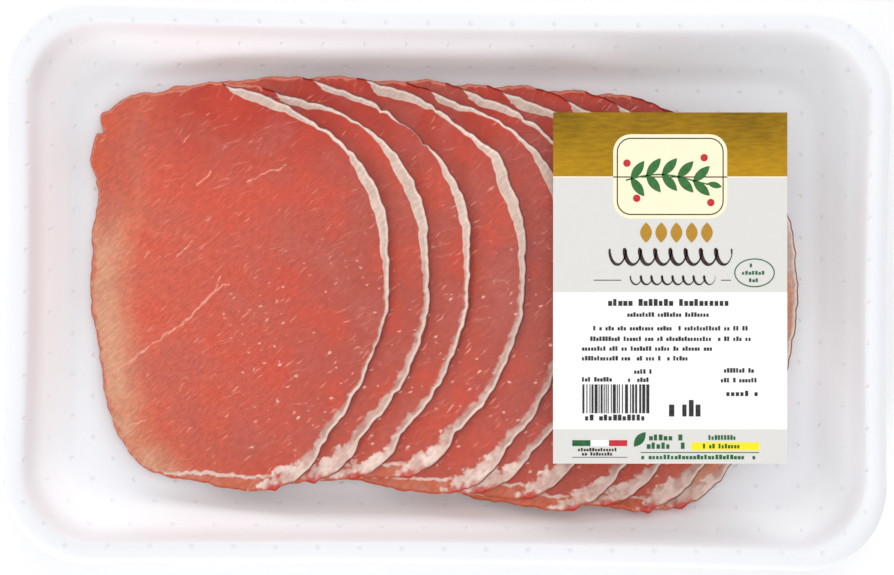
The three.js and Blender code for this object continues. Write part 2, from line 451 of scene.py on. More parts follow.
def skin(ring_count: int, around: int) -> Faces:
    """Lists the faces between equal rings that follow one another.

    Args:
        ring_count: How many rings there are.
        around: How many points each has.

    Returns:
        Four point numbers for each face.
    """
    faces = []
    for level in range(ring_count - 1):
        for step in range(around):
            first = level * around + step
            second = level * around + (step + 1) % around
            faces.append((first, second, second + around, first + around))
    return faces


def closed_skin(ring_count: int, around: int) -> Faces:
    """Lists the faces between equal rings, and those that close the first and the last."""
    last = (ring_count - 1) * around
    return [*skin(ring_count, around), tuple(range(around))[::-1], tuple(range(last, last + around))]


def turned(outline: np.ndarray, turn: float) -> np.ndarray:
    """Turns flat points about their origin, in radians."""
    spin = np.array([[math.cos(turn), math.sin(turn)], [-math.sin(turn), math.cos(turn)]])
    return outline @ spin


def soft_step(share: np.ndarray) -> np.ndarray:
    """Eases a share from 0 to 1."""
    share = np.clip(share, 0.0, 1.0)
    return share * share * (3 - 2 * share)


def corner_cut(profile: np.ndarray, rounds: int) -> np.ndarray:
    """Rounds an open profile by cutting its corners.

    Args:
        profile: The profile's points.
        rounds: How often the corners are cut.

    Returns:
        The rounded profile, with the same ends.
    """
    for _ in range(rounds):
        near = profile[:-1] * 0.75 + profile[1:] * 0.25
        far = profile[:-1] * 0.25 + profile[1:] * 0.75
        middle = np.stack([near, far], axis=1).reshape(-1, profile.shape[1])
        profile = np.concatenate([profile[:1], middle[1:-1], profile[-1:]])
    return profile


# ---- Tray ----


@dataclass(frozen=True)
class FoamFinish:
    """White expanded foam with a closed skin and a lattice of small dents, and a painted emission that
    brightens the tray's hollow.
    """

    white: Colour = tone(237, 238, 241)
    shade: Colour = tone(230, 231, 235)
    cloud_size: float = 22.0
    cloud_spread: float = 0.35
    cloud_share: float = 0.35
    dent_shade_share: float = 0.3
    dent_pitch: float = 10.8
    dent_radius: float = 0.75
    dent_depth: float = 0.22
    beads: Cloud = (2.2, 1.0)
    bead_share: float = 0.3
    roughness: float = 0.5
    specular: float = 0.35
    # Painted light: an emission that brightens the hollow of the tray, most of it at the walls
    painted_glow: Colour = tone(228, 241, 242)
    painted_wall_glow: float = 0.17
    painted_floor_glow: float = 0.09
    # Heights over which the painted emission of the walls sets in, and gives way to that of the floor
    wall_heights: Step = (27.0, 17.0)
    floor_heights: Step = (10.0, 4.0)
    # How far a face has to look up to take the painted emission
    upward: Step = (0.0, 0.2)

    def material(self, effects: Effects) -> bpy.types.Material:
        """Makes the foam's material.

        Args:
            effects: The shared node groups.

        Returns:
            The material.
        """
        material, bench = new_material("tray_foam")
        place = bench.object_place()
        _, _, up = bench.split(place)
        cloud = effects.mottle.use(bench, place, {"Size": self.cloud_size, "Spread": self.cloud_spread})
        dents = effects.dimples.use(bench, place, {"Pitch": self.dent_pitch, "Radius": self.dent_radius})
        # The cloud is the foam's own uneven tone; the darker colour in the dents is painted shade
        shaded = bench.sum(bench.product(cloud, self.cloud_share), bench.product(dents, self.dent_shade_share))
        colour = bench.colour(shaded, self.white, self.shade)
        beads = bench.noise(place, *self.beads)
        height = bench.minus(bench.product(beads, self.bead_share), dents)
        wall = bench.smooth(up, *self.wall_heights, 0.0, self.painted_wall_glow)
        lost = bench.smooth(up, *self.floor_heights, 0.0, self.painted_wall_glow - self.painted_floor_glow)
        _, _, facing = bench.split(bench.add("ShaderNodeNewGeometry").outputs["Normal"])
        strength = bench.product(bench.minus(wall, lost), bench.smooth(facing, *self.upward))
        finish_principled(bench, colour, bench.bump(height, self.dent_depth), self.roughness,
                          self.specular, {"Emission Color": self.painted_glow, "Emission Strength": strength})
        # Left out of the lamps, as so weak a painted emission isn't worth the rays
        material.cycles.emission_sampling = "NONE"
        return material


@dataclass(frozen=True)
class Tray:
    """The foam tray: sloped walls, a rolled rim, and sides that bow inwards a little."""

    half_length: float = 114.2
    half_width: float = 72.7
    height: float = 30.0
    corner_radius: float = 23.0
    corner_tightening: float = 0.5
    end_bow: float = 1.5
    side_bow: float = 1.6
    corner_steps: int = 20
    side_steps: int = 44
    section_rounding: int = 2
    # Wall in section, from the edge of the base round the rim to the edge of the floor, as distance
    # in from the outer edge and height
    section: tuple[tuple[float, float], ...] = (
        (20.0, 0), (18.0, 0), (16.6, 0), (14.6, 0.6), (13.4, 2.3), (3.7, 23.4), (2.3, 25.0), (0.6, 25.7),
        (0, 26.8), (0, 28.3), (0.7, 29.4), (2.0, 30), (3.7, 30), (5.0, 29.5), (5.9, 28.2), (12.9, 11.0),
        (14.2, 8.2), (15.8, 5.9), (17.6, 4.5), (19.5, 4), (21.0, 4), (23.0, 4),
    )

    def ring(self, inset: float, height: float) -> np.ndarray:
        """Lays one closed turn round the tray, anticlockwise.

        Args:
            inset: Distance in from the outer edge.
            height: Height over the base.

        Returns:
            The turn's points.
        """
        half_length = self.half_length - inset
        half_width = self.half_width - inset
        radius = self.corner_radius - inset * self.corner_tightening
        points = []
        signs = ((1, 1), (-1, 1), (-1, -1), (1, -1))
        for quarter, (side_x, side_y) in enumerate(signs):
            next_x, next_y = signs[(quarter + 1) % len(signs)]
            centre = np.array([side_x * (half_length - radius), side_y * (half_width - radius)])
            next_centre = np.array([next_x * (half_length - radius), next_y * (half_width - radius)])
            angles = (quarter + np.linspace(0, 1, self.corner_steps + 1)) * math.pi / 2
            turn = np.stack([np.cos(angles), np.sin(angles)], axis=1) * radius
            points.append(centre + turn)
            shares = np.linspace(0, 1, self.side_steps + 1)[1:-1, None]
            points.append((centre + turn[-1]) * (1 - shares) + (next_centre + turn[-1]) * shares)
        flat = np.concatenate(points)
        pull = height / self.height
        bowed_x = 1 - pull * self.end_bow / half_length * (1 - (flat[:, 1] / half_width) ** 2)
        bowed_y = 1 - pull * self.side_bow / half_width * (1 - (flat[:, 0] / half_length) ** 2)
        level = np.full(len(flat), height)
        return np.stack([flat[:, 0] * bowed_x, flat[:, 1] * bowed_y, level], axis=1)

    def build(self, effects: Effects) -> bpy.types.Object:
        """Builds the tray over its solid.

        Args:
            effects: The shared node groups.

        Returns:
            The tray.
        """
        profile = corner_cut(np.array(self.section), self.section_rounding)
        rings = np.array([self.ring(inset, height) for inset, height in profile])
        around = rings.shape[1]
        piece = make_piece("foam_tray", rings.reshape(-1, 3), closed_skin(len(rings), around))
        piece.data.materials.append(FoamFinish().material(effects))
        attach(piece, BODY)
        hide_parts("tray")
        return piece


# ---- Slices ----


@dataclass(frozen=True)
class Vein:
    """One stretch of marbling on a slice, in the slice's own millimetres."""

    start: tuple[float, float]
    end: tuple[float, float]
    width: float


# Veins that show on the top slice
TOP_VEINS = (
    Vein((5.9, -22.5), (15.5, -15.5), 0.5),
    Vein((15.5, -15.5), (25.9, -8.2), 0.42),
    Vein((25.9, -8.2), (32.4, -1.0), 0.4),
    Vein((32.4, -1.0), (33.9, 2.2), 0.36),
    Vein((32.4, -1.0), (36.0, 0.4), 0.3),
    Vein((40.9, 27.0), (50.8, 31.2), 0.34),
    Vein((27.7, 26.5), (31.3, 29.4), 0.32),
    Vein((22.4, 7.6), (26.6, 11.4), 0.26),
    Vein((8.6, -36.6), (14.2, -35.0), 0.34),
)


@dataclass(frozen=True)
class Scatter:
    """One kind of marbling fleck, strewn along one direction in cells of a length and a breadth."""

    turn: float
    reach: float
    breadth: float
    fill: float
    share: float

    def mask(self, bench: Bench, effects: Effects, place: Feed) -> Socket:
        """Strews the flecks in a material."""
        return effects.flecks.use(bench, place, {
            "Turn": self.turn, "Reach": self.reach, "Breadth": self.breadth, "Fill": self.fill,
            "Share": self.share,
        })


@dataclass(frozen=True)
class EdgeMaps:
    """What the colours along a slice's edge are worked out from, and the bench they are laid on."""

    bench: Bench
    # The distance in from the edge, and along it from the start of the fat
    edge: Feed
    run: Feed
    # Two noises: one that swings about 0, and a mask of soft puffs
    sway: Feed
    puffs: Feed


@dataclass(frozen=True)
class LoinFinish:
    """Raw pork loin: lean meat with flecks of marbling, and fat along one side."""

    # Colour of the lean by how many slices lie under it, from one over the bare tray: painted light, paler
    # where the white tray's light comes back through thin meat
    by_depth: tuple[tuple[float, Colour], ...] = (
        (0.0, under_gloss(225, 164, 132)), (0.06, under_gloss(219, 138, 110)),
        (0.14, under_gloss(215, 108, 88)), (0.3, under_gloss(207, 98, 81)),
        (0.6, under_gloss(194, 93, 80)), (1.0, under_gloss(176, 88, 77)),
    )
    deepest: float = 7.0
    # How far apart two slices' patterns are read
    far_apart: float = 400.0

    # Colours of the lean
    thin_red: Colour = under_gloss(222, 108, 82)
    # Painted shade: a darker red towards the top of each slice, near the tray's wall and under the slice
    # above
    crown_shade: Colour = under_gloss(188, 68, 48)
    warm: Colour = under_gloss(218, 86, 66)
    cool: Colour = under_gloss(188, 104, 94)
    fleck: Colour = under_gloss(236, 164, 144)
    dot: Colour = under_gloss(244, 206, 190)
    # Colours of the fat and of what borders on it
    cream: Colour = under_gloss(210, 184, 169)
    bright: Colour = under_gloss(242, 219, 206)
    veil: Colour = under_gloss(188, 142, 130)
    blush: Colour = under_gloss(227, 190, 177)
    pale: Colour = under_gloss(252, 230, 216)
    rosy: Colour = under_gloss(214, 150, 136)
    side_muscle: Colour = under_gloss(216, 116, 88)
    tip: Colour = under_gloss(214, 62, 46)
    # Painted shadow where a slice's side meets what lies under it
    contact_shadow: Colour = under_gloss(132, 48, 38)

    # Where the lean reddens, over the layers under it and over places on the slice; the darker red towards
    # the top of each slice is painted shade
    thin_layers: Step = (1.1, 0.3)
    thin_up: Step = (5.0, 30.0)
    crown_up: Step = (22.0, 50.0)
    crown_across: Step = (6.0, 34.0, 0.08, 0.95)
    blotches: Cloud = (15.0, 2.0)
    warm_blotches: Step = (0.5, 0.68, 0.0, 0.34)
    cool_blotches: Step = (0.48, 0.3, 0.0, 0.4)

    # Marbling
    drift: Cloud = (3.0, 3.0)
    drift_reach: float = 2.4
    clusters: Cloud = (12.0, 1.0)
    in_cluster: Step = (0.36, 0.56, 0.35, 1.0)
    coarse: Scatter = Scatter(0.72, 8.0, 1.4, 0.13, 0.6)
    coarse_up: Step = (10.0, -35.0, 0.8, 0.95)
    hairs: Scatter = Scatter(0.34, 19.0, 1.2, 0.12, 0.6)
    hair_strength: float = 0.4
    dots: Scatter = Scatter(0.3, 3.4, 2.0, 0.13, 0.34)
    dots_across: Step = (20.0, 50.0, 0.12, 1.0)
    dots_up: Step = (18.0, -8.0, 0.1, 0.85)
    vein_gaps: Cloud = (1.6, 1.0)
    vein_strength: Step = (0.3, 0.5, 0.45, 1.0)
    fleck_strength: float = 0.8

    # Noises along the edge
    sway: Cloud = (2.1, 3.0)
    puffs: Cloud = (4.2, 2.0)
    in_puff: Step = (0.38, 0.62)

    # The side muscle, behind a thin line of fat
    muscle_run: Step = (136.0, 142.0)
    line_inset: Step = (173.0, 148.0, 0.0, 3.4)
    line_sway: float = 1.6
    line: Step = (0.2, 0.6, 0.85, 0.0)
    beyond_line: Step = (0.2, -0.2)
    muscle_puffs: float = 0.35

    # The strip of fat: clean where it starts, veiled low down, and mottled at the front edge
    low_run: Step = (62.0, 84.0)
    patch_run: Step = (119.0, 130.0)
    strip_sway: float = 0.2
    low_sway: float = 1.6
    patch_sway: float = 3.0
    low_blur: float = 0.45
    low_cover: float = 0.96
    strip: Step = (-0.1, 0.3)
    cream_puffs: float = 0.25
    veil_edge: Step = (0.6, 1.1)
    veil_puffs: Step = (0.0, 1.0, 0.95, 0.45)
    blush_depth: Step = (0.0, 1.1)
    pale_puffs: float = 0.85
    patch_cover: float = 0.95
    seam: Step = (0.05, 0.45, 0.75, 0.0)
    # Painted highlight: a bright line along the fat's rounded outer edge, weaker on the mottled patch
    rim: Step = (0.4, 0.95, 1.0, 0.0)
    patch_rim: float = 0.6

    # The very edge: raw flesh at the front, a red tip, and painted shadow on the slice's side where it meets
    # what lies below
    ragged_sway: float = 3.0
    outer_run: Step = (130.0, 136.0)
    outer: Step = (0.1, 0.9, 0.85, 0.0)
    tip_run: float = 138.0
    tip_reach: Step = (1.0, 3.0, 1.0, 0.0)
    tip_depth: Step = (0.8, 2.0, 0.75, 0.0)
    side_run: Step = (138.0, 130.0)
    side_edge: Step = (-0.04, 0.14, 0.85, 0.0)

    # Fibres run on a slant: their direction along and across, stretched to their length
    fibre_along: tuple[float, float] = (0.3, 0.26)
    fibre_across: tuple[float, float] = (0.75, 0.66)
    fibres: Cloud = (0.8, 3.0)
    fibre_shade: Step = (0.2, 0.8, 0.88, 1.12)
    fibre_relief: float = 0.07
    roughness: float = 0.42
    specular: Step = (0.1, 0.5, 0.0, 0.4)

    def marks(self, bench: Bench, effects: Effects, drifted: Feed, place: Feed,
              veins: Sequence[Vein]) -> tuple[Socket, Socket]:
        """Scatters the marbling.

        Args:
            bench: The material's bench.
            effects: The shared node groups.
            drifted: The place on the slice, swayed so that straight marks wander.
            place: The place on the slice as it was cut.
            veins: Stretches of marbling drawn one by one.

        Returns:
            The mask of the soft flecks and veins, and that of the pale dots.
        """
        across, up, _ = bench.split(place)
        clusters = bench.smooth(bench.noise(drifted, *self.clusters, flat=True), *self.in_cluster)
        coarse = self.coarse.mask(bench, effects, drifted)
        soft = bench.product(coarse, clusters, bench.smooth(up, *self.coarse_up))
        hairs = self.hairs.mask(bench, effects, drifted)
        soft = bench.math("MAXIMUM", soft, bench.product(hairs, self.hair_strength))
        dots = self.dots.mask(bench, effects, drifted)
        dots = bench.product(dots, bench.smooth(across, *self.dots_across), bench.smooth(up, *self.dots_up))
        if veins:
            lines = 0.0
            for vein in veins:
                streak = effects.streak.use(bench, drifted, {
                    "From X": vein.start[0], "From Y": vein.start[1],
                    "To X": vein.end[0], "To Y": vein.end[1], "Width": vein.width,
                })
                lines = bench.math("MAXIMUM", lines, streak)
            gaps = bench.noise(drifted, *self.vein_gaps, flat=True)
            broken = bench.product(lines, bench.smooth(gaps, *self.vein_strength))
            soft = bench.math("MAXIMUM", soft, broken)
        return soft, dots

    def lean(self, bench: Bench, effects: Effects, place: Feed, spread: Feed,
             veins: Sequence[Vein]) -> Socket:
        """Colours the lean meat.

        Args:
            bench: The material's bench.
            effects: The shared node groups.
            place: The place on the slice as it was cut.
            spread: The same place, far apart from slice to slice.
            veins: Stretches of marbling drawn one by one.

        Returns:
            The lean's colour.
        """
        layers = bench.attribute("layers")
        colour = bench.scale_of_colours(bench.ratio(layers, self.deepest), self.by_depth)
        across, up, _ = bench.split(place)
        thin = bench.product(bench.smooth(layers, *self.thin_layers), bench.smooth(up, *self.thin_up))
        colour = bench.colour(thin, colour, self.thin_red)
        # Painted shade: darker red towards the top of the slice
        crown_shade = bench.product(bench.smooth(up, *self.crown_up), bench.smooth(across, *self.crown_across))
        colour = bench.colour(crown_shade, colour, self.crown_shade)
        blotches = bench.noise(spread, *self.blotches, flat=True)
        colour = bench.colour(bench.smooth(blotches, *self.warm_blotches), colour, self.warm)
        colour = bench.colour(bench.smooth(blotches, *self.cool_blotches), colour, self.cool)
        wide, high, _ = bench.split(spread)
        drift = bench.product(bench.swing(spread, self.drift), self.drift_reach)
        drifted = bench.join(wide, bench.sum(high, drift))
        soft, dots = self.marks(bench, effects, drifted, place, veins)
        colour = bench.colour(bench.product(soft, self.fleck_strength), colour, self.fleck)
        return bench.colour(dots, colour, self.dot)

    def side_flesh(self, maps: EdgeMaps, colour: Feed) -> Socket:
        """Lays the side muscle at the front edge over the lean, and the line that sets it off.

        Args:
            maps: What the edge's colours are worked out from.
            colour: The colour so far.

        Returns:
            The colour with the side muscle.
        """
        bench = maps.bench
        beside = bench.smooth(maps.run, *self.muscle_run)
        inset = bench.smooth(maps.run, *self.line_inset)
        beyond = bench.sum(bench.minus(maps.edge, inset), bench.product(maps.sway, self.line_sway))
        flesh = bench.colour(bench.product(maps.puffs, self.muscle_puffs), self.side_muscle, self.rosy)
        covered = bench.product(beside, bench.smooth(beyond, *self.beyond_line))
        colour = bench.colour(covered, colour, flesh)
        line = bench.smooth(bench.math("ABSOLUTE", beyond), *self.line)
        return bench.colour(bench.product(line, beside), colour, self.bright)

    def fat(self, maps: EdgeMaps, colour: Feed) -> Socket:
        """Lays the strip of fat over the lean, with a painted highlight along its outer edge.

        Args:
            maps: What the edge's colours are worked out from.
            colour: The colour so far.

        Returns:
            The colour with the fat.
        """
        bench = maps.bench
        low = bench.smooth(maps.run, *self.low_run)
        patch = bench.smooth(maps.run, *self.patch_run)
        amount = bench.sum(bench.product(low, self.low_sway), bench.product(patch, self.patch_sway),
                           self.strip_sway)
        inner = bench.sum(bench.attribute("fat_margin"), bench.product(maps.sway, amount))
        blurred = bench.product(inner, bench.fade(low, self.low_blur))
        mask = bench.product(bench.smooth(blurred, *self.strip), bench.fade(low, self.low_cover))

        fat = bench.colour(bench.product(maps.puffs, self.cream_puffs), self.cream, self.bright)
        veil = bench.product(low, bench.smooth(maps.edge, *self.veil_edge),
                             bench.smooth(maps.puffs, *self.veil_puffs))
        fat = bench.colour(veil, fat, self.veil)
        mottled = bench.colour(bench.smooth(inner, *self.blush_depth), self.rosy, self.blush)
        mottled = bench.colour(bench.product(maps.puffs, self.pale_puffs), mottled, self.pale)
        fat = bench.colour(bench.product(patch, self.patch_cover), fat, mottled)
        seam = bench.product(bench.smooth(inner, *self.seam), bench.fade(low, 0.0))
        fat = bench.colour(seam, fat, self.bright)
        # Painted highlight along the fat's outer edge
        rim = bench.product(bench.smooth(maps.edge, *self.rim), bench.fade(patch, self.patch_rim))
        fat = bench.colour(rim, fat, self.bright)
        return bench.colour(mask, colour, fat)

    def outer_edge(self, maps: EdgeMaps, colour: Feed) -> Socket:
        """Colours the very edge, where raw flesh and a red tip show, and paints shadow on the slice's side.

        Args:
            maps: What the edge's colours are worked out from.
            colour: The colour so far.

        Returns:
            The colour with the edge.
        """
        bench = maps.bench
        ragged = bench.sum(maps.edge, bench.product(maps.sway, self.ragged_sway))
        outer = bench.product(bench.smooth(maps.run, *self.outer_run), bench.smooth(ragged, *self.outer))
        colour = bench.colour(outer, colour, self.side_muscle)
        from_tip = bench.math("ABSOLUTE", bench.minus(maps.run, self.tip_run))
        tip = bench.product(bench.smooth(from_tip, *self.tip_reach), bench.smooth(ragged, *self.tip_depth))
        colour = bench.colour(tip, colour, self.tip)
        # Painted shadow on the slice's side, where it meets what lies under it
        side = bench.product(bench.smooth(maps.edge, *self.side_edge), bench.smooth(maps.run, *self.side_run))
        return bench.colour(side, colour, self.contact_shadow)

    def fibre(self, bench: Bench, spread: Feed) -> Socket:
        """Reads the fine grain of the meat's fibres.

        Args:
            bench: The material's bench.
            spread: The place on the slice, far apart from slice to slice.

        Returns:
            The grain, about 0.5 in the mean.
        """
        wide, high, _ = bench.split(spread)
        with_fibre = bench.sum(bench.product(wide, self.fibre_along[0]),
                               bench.product(high, self.fibre_along[1]))
        over_fibre = bench.minus(bench.product(high, self.fibre_across[0]),
                                 bench.product(wide, self.fibre_across[1]))
        return bench.noise(bench.join(with_fibre, over_fibre), *self.fibres, flat=True)

    def material(self, name: str, effects: Effects, veins: Sequence[Vein]) -> bpy.types.Material:
        """Makes the material of one or more slices.

        Args:
            name: The material's name.
            effects: The shared node groups.
            veins: Stretches of marbling drawn one by one.

        Returns:
            The material.
        """
        material, bench = new_material(name)
        place = bench.attribute("cut", "Vector")
        across, up, seed = bench.split(place)
        spread = bench.join(bench.sum(across, bench.product(seed, self.far_apart)), up)
        puffs = bench.smooth(bench.noise(spread, *self.puffs, flat=True), *self.in_puff)
        maps = EdgeMaps(bench, bench.attribute("edge"), bench.attribute("fat_run"),
                        bench.swing(spread, self.sway), puffs)
        colour = self.lean(bench, effects, place, spread, veins)
        for laid_over in (self.side_flesh, self.fat, self.outer_edge):
            colour = laid_over(maps, colour)
        grain = self.fibre(bench, spread)
        colour = bench.scaled(colour, bench.smooth(grain, *self.fibre_shade))
        finish_principled(bench, colour, bench.bump(grain, self.fibre_relief), self.roughness,
                          bench.smooth(maps.edge, *self.specular))
        return material


@dataclass(frozen=True)
class Nick:
    """A small cut in a slice's edge, in the slice's own millimetres; a negative depth is a bulge."""

    place: tuple[float, float]
    depth: float
    reach: float


# The crest of a slice that bulges a little more than that of the top one
CREST = Nick((22.0, 50.6), -1.6, 13.0)
UPPER_NOTCH = Nick((55.3, 44.5), 0.8, 0.9)
LOWER_NOTCH = Nick((66.3, 35.8), 0.9, 0.9)


@dataclass(frozen=True)
class Lay:
    """How one slice lies, and the cutting of its own.

    It has a place along and across the tray, a stretch across and a turn in degrees, and the length
    along its edge that is bare of fat where the others' fat begins.
    """

    along: float
    across: float
    stretch: float
    turn: float
    nicks: tuple[Nick, ...] = ()
    bare: float = 0.0


@dataclass(frozen=True)
class LoinCut:
    """The loin as it was sliced: the outline that all slices share, and the fat along it."""

    thickness: float = 2.5
    pivot: tuple[float, float] = (38.8, 0.0)
    outline: tuple[tuple[float, float], ...] = (
        (10, 49.6), (22, 50.6), (35, 51.8), (52, 46.3), (65.5, 36.6), (74.5, 24.5), (77.8, 8),
        (76.8, -10), (70.8, -26.4), (62, -39.2), (54.5, -48.8), (44.6, -52.6), (30, -51), (15, -47.3),
        (6, -37), (2, -18), (0.2, 2), (2.4, 20), (0.4, 31.5), (3, 43),
    )
    around: int = 400
    span_samples: int = 40
    # Uneven cutting, as waves round the outline: how many, how deep
    wobbles: tuple[tuple[int, float], ...] = ((3, 0.25), (7, 0.2), (13, 0.2))
    solid_steps: int = 64
    fat_start: tuple[float, float] = (35, 52)
    # Width of the fat at distances along the edge from its start
    fat_width: tuple[tuple[float, float], ...] = (
        (0, -0.2), (1.5, 0.8), (4, 2.1), (8, 2.7), (14, 2.5), (19, 1.8), (24, 1.3), (30, 1.0), (35, 1.1),
        (39, 1.8), (45, 2.7), (52, 3.1), (58, 2.8), (64, 2.2), (72, 1.6), (84, 1.5), (100, 1.9), (112, 2.2),
        (122, 2.7), (128, 4.0), (134, 4.6), (139, 3.2), (143, 0.8), (147, -1.5),
    )
    no_fat: float = -3.0
    # How the fat differs from slice to slice: in width, by a rhythm in the pile, along the edge
    fat_unevenness: float = 0.12
    fat_rhythm: float = 2.3
    fat_shift: float = 2.0
    # How fast it widens from where it starts, and how much of it a nick takes at most
    fat_flare: float = 0.7
    deepest_bite: float = 0.7
    shared_nicks: tuple[Nick, ...] = (
        Nick((60.0, 41.3), 0.3, 1.4), Nick((75.0, 23.5), 0.3, 1.8), Nick((69.0, -29.6), 0.5, 1.3),
        Nick((66.4, -33.2), -0.35, 2.0), Nick((60.4, -41.6), 0.5, 1.2), Nick((58.0, -45.0), -0.35, 1.6),
        Nick((47.6, -52.0), -0.7, 1.1),
    )
    nick_strengths: tuple[float, float] = (0.3, 1.3)
    # Ragged cutting, as finer waves round the outline that start by lot
    fringe: tuple[tuple[int, float], ...] = ((29, 0.11), (47, 0.1), (71, 0.08), (113, 0.05))
    first_seed: int = 100

    def curve(self) -> np.ndarray:
        """Lays the outline as a closed centripetal curve.

        Returns:
            Its points, evenly spaced and clockwise.
        """
        knots = np.array(self.outline, float)
        before, here, after, beyond = (np.roll(knots, shift, axis=0) for shift in (1, 0, -1, -2))
        lead, span, trail = (
            np.linalg.norm(second - first, axis=1, keepdims=True) ** 0.5
            for first, second in ((before, here), (here, after), (after, beyond))
        )
        start = ((here - before) / lead - (after - before) / (lead + span) + (after - here) / span) * span
        end = ((after - here) / span - (beyond - here) / (span + trail) + (beyond - after) / trail) * span
        share = np.linspace(0, 1, self.span_samples, endpoint=False)[:, None, None]
        points = (here + start * share + (3 * (after - here) - 2 * start - end) * share ** 2
                  + (2 * (here - after) + start + end) * share ** 3)
        points = points.transpose(1, 0, 2).reshape(-1, 2)
        closed = np.vstack([points, points[:1]])
        lengths = np.concatenate([[0], np.cumsum(np.linalg.norm(np.diff(closed, axis=0), axis=1))])
        wanted = np.linspace(0, lengths[-1], self.around, endpoint=False)
        return np.stack([np.interp(wanted, lengths, closed[:, axis]) for axis in (0, 1)], axis=1)

    def swell(self, index: int, luck: np.random.Generator) -> np.ndarray:
        """Draws how far uneven cutting moves the outline out.

        Args:
            index: The slice's place in the pile.
            luck: The slice's own random numbers.

        Returns:
            The distance at each point.
        """
        share = np.arange(self.around) / self.around
        round_turn = 2 * math.pi * (1 - 1 / self.solid_steps - share)
        swell = sum(depth * np.sin(lobes * (round_turn + index)) for lobes, depth in self.wobbles)
        for lobes, depth in self.fringe:
            swell = swell + depth * np.sin(lobes * round_turn + luck.uniform(0, 2 * math.pi))
        return swell

    def notches(self, clockwise: np.ndarray, own: Sequence[Nick], luck: np.random.Generator) -> np.ndarray:
        """Draws how far the nicks cut into the outline.

        Args:
            clockwise: The outline's points.
            own: The slice's own nicks.
            luck: The slice's own random numbers, which weigh the shared nicks.

        Returns:
            The depth at each point.
        """
        notched = np.zeros(self.around)
        strengths = luck.uniform(*self.nick_strengths, len(self.shared_nicks))
        for nick, strength in [*zip(self.shared_nicks, strengths), *((nick, 1.0) for nick in own)]:
            centre = clockwise[self.nearest(clockwise, nick.place)]
            away = np.linalg.norm(clockwise - centre, axis=1)
            notched += nick.depth * strength * np.exp(-((away / nick.reach) ** 2))
        return notched

    def fat_run(self, clockwise: np.ndarray) -> np.ndarray:
        """Measures how far along the outline its points lie from the start of the fat.

        Args:
            clockwise: The outline's points.

        Returns:
            The distances.
        """
        steps = np.linalg.norm(np.diff(np.vstack([clockwise, clockwise[:1]]), axis=0), axis=1)
        lengths = np.concatenate([[0], np.cumsum(steps)[:-1]])
        start = lengths[self.nearest(clockwise, self.fat_start)]
        return (lengths - start) % steps.sum()

    def fat_widths(self, run: np.ndarray, notched: np.ndarray, index: int, bare: float) -> np.ndarray:
        """Works out the width of one slice's fat.

        Args:
            run: Distances along the outline from the start of the fat.
            notched: How deep the nicks are there.
            index: The slice's place in the pile.
            bare: The length without fat where the others' fat begins.

        Returns:
            The width at each point, negative where there is none.
        """
        rhythm = math.sin(self.fat_rhythm * index)
        stations, widths = np.array(self.fat_width).T
        width = np.interp(run + self.fat_shift * rhythm, stations, widths, self.no_fat, self.no_fat)
        width = width * (1 + self.fat_unevenness * rhythm) - np.clip(notched, 0, self.deepest_bite)
        return np.minimum(width, (run - bare) * self.fat_flare)

    @staticmethod
    def nearest(points: np.ndarray, place: Sequence[float]) -> int:
        """Finds the number of the point nearest to a place."""
        return int(np.argmin(np.linalg.norm(points - np.array(place), axis=1)))


@dataclass
class Slice:
    """One slice where it lies, with its outline anticlockwise and what the outline carries."""

    number: int
    middle: np.ndarray
    local_middle: np.ndarray
    local: np.ndarray
    edge: np.ndarray
    run: np.ndarray
    fat_width: np.ndarray

    @property
    def name(self) -> str:
        """The slice's name, as its solids begin."""
        return f"slice_{self.number:02d}"

    def beyond(self, points: np.ndarray) -> np.ndarray:
        """Measures how far points lie outside the slice, seen from above.

        Args:
            points: Places along and across the tray.

        Returns:
            The distances, negative inside.
        """
        spokes = self.edge - self.middle
        angles = np.arctan2(spokes[:, 1], spokes[:, 0])
        order = np.argsort(angles)
        radii = np.linalg.norm(spokes, axis=1)
        away = points - self.middle
        wanted = np.arctan2(away[:, 1], away[:, 0])
        reach = np.interp(wanted, angles[order], radii[order], period=2 * math.pi)
        return np.linalg.norm(away, axis=1) - reach

    def nearest_edge(self, points: np.ndarray) -> tuple[np.ndarray, np.ndarray]:
        """Finds the point of the slice's edge that is nearest to each place.

        Args:
            points: Places along and across the tray.

        Returns:
            How far away it is, and its number.
        """
        squares = ((points[:, None, :] - self.edge[None, :, :]) ** 2).sum(axis=2)
        return np.sqrt(squares.min(axis=1)), squares.argmin(axis=1)


@dataclass
class Drape:
    """A slice's points, ring by ring with its two middles last, and what they carry."""

    points: np.ndarray
    # The same points on the slice as it was cut
    local: np.ndarray
    # The distance in from the edge, and the number of the nearest point on it
    edge: np.ndarray
    nearest: np.ndarray


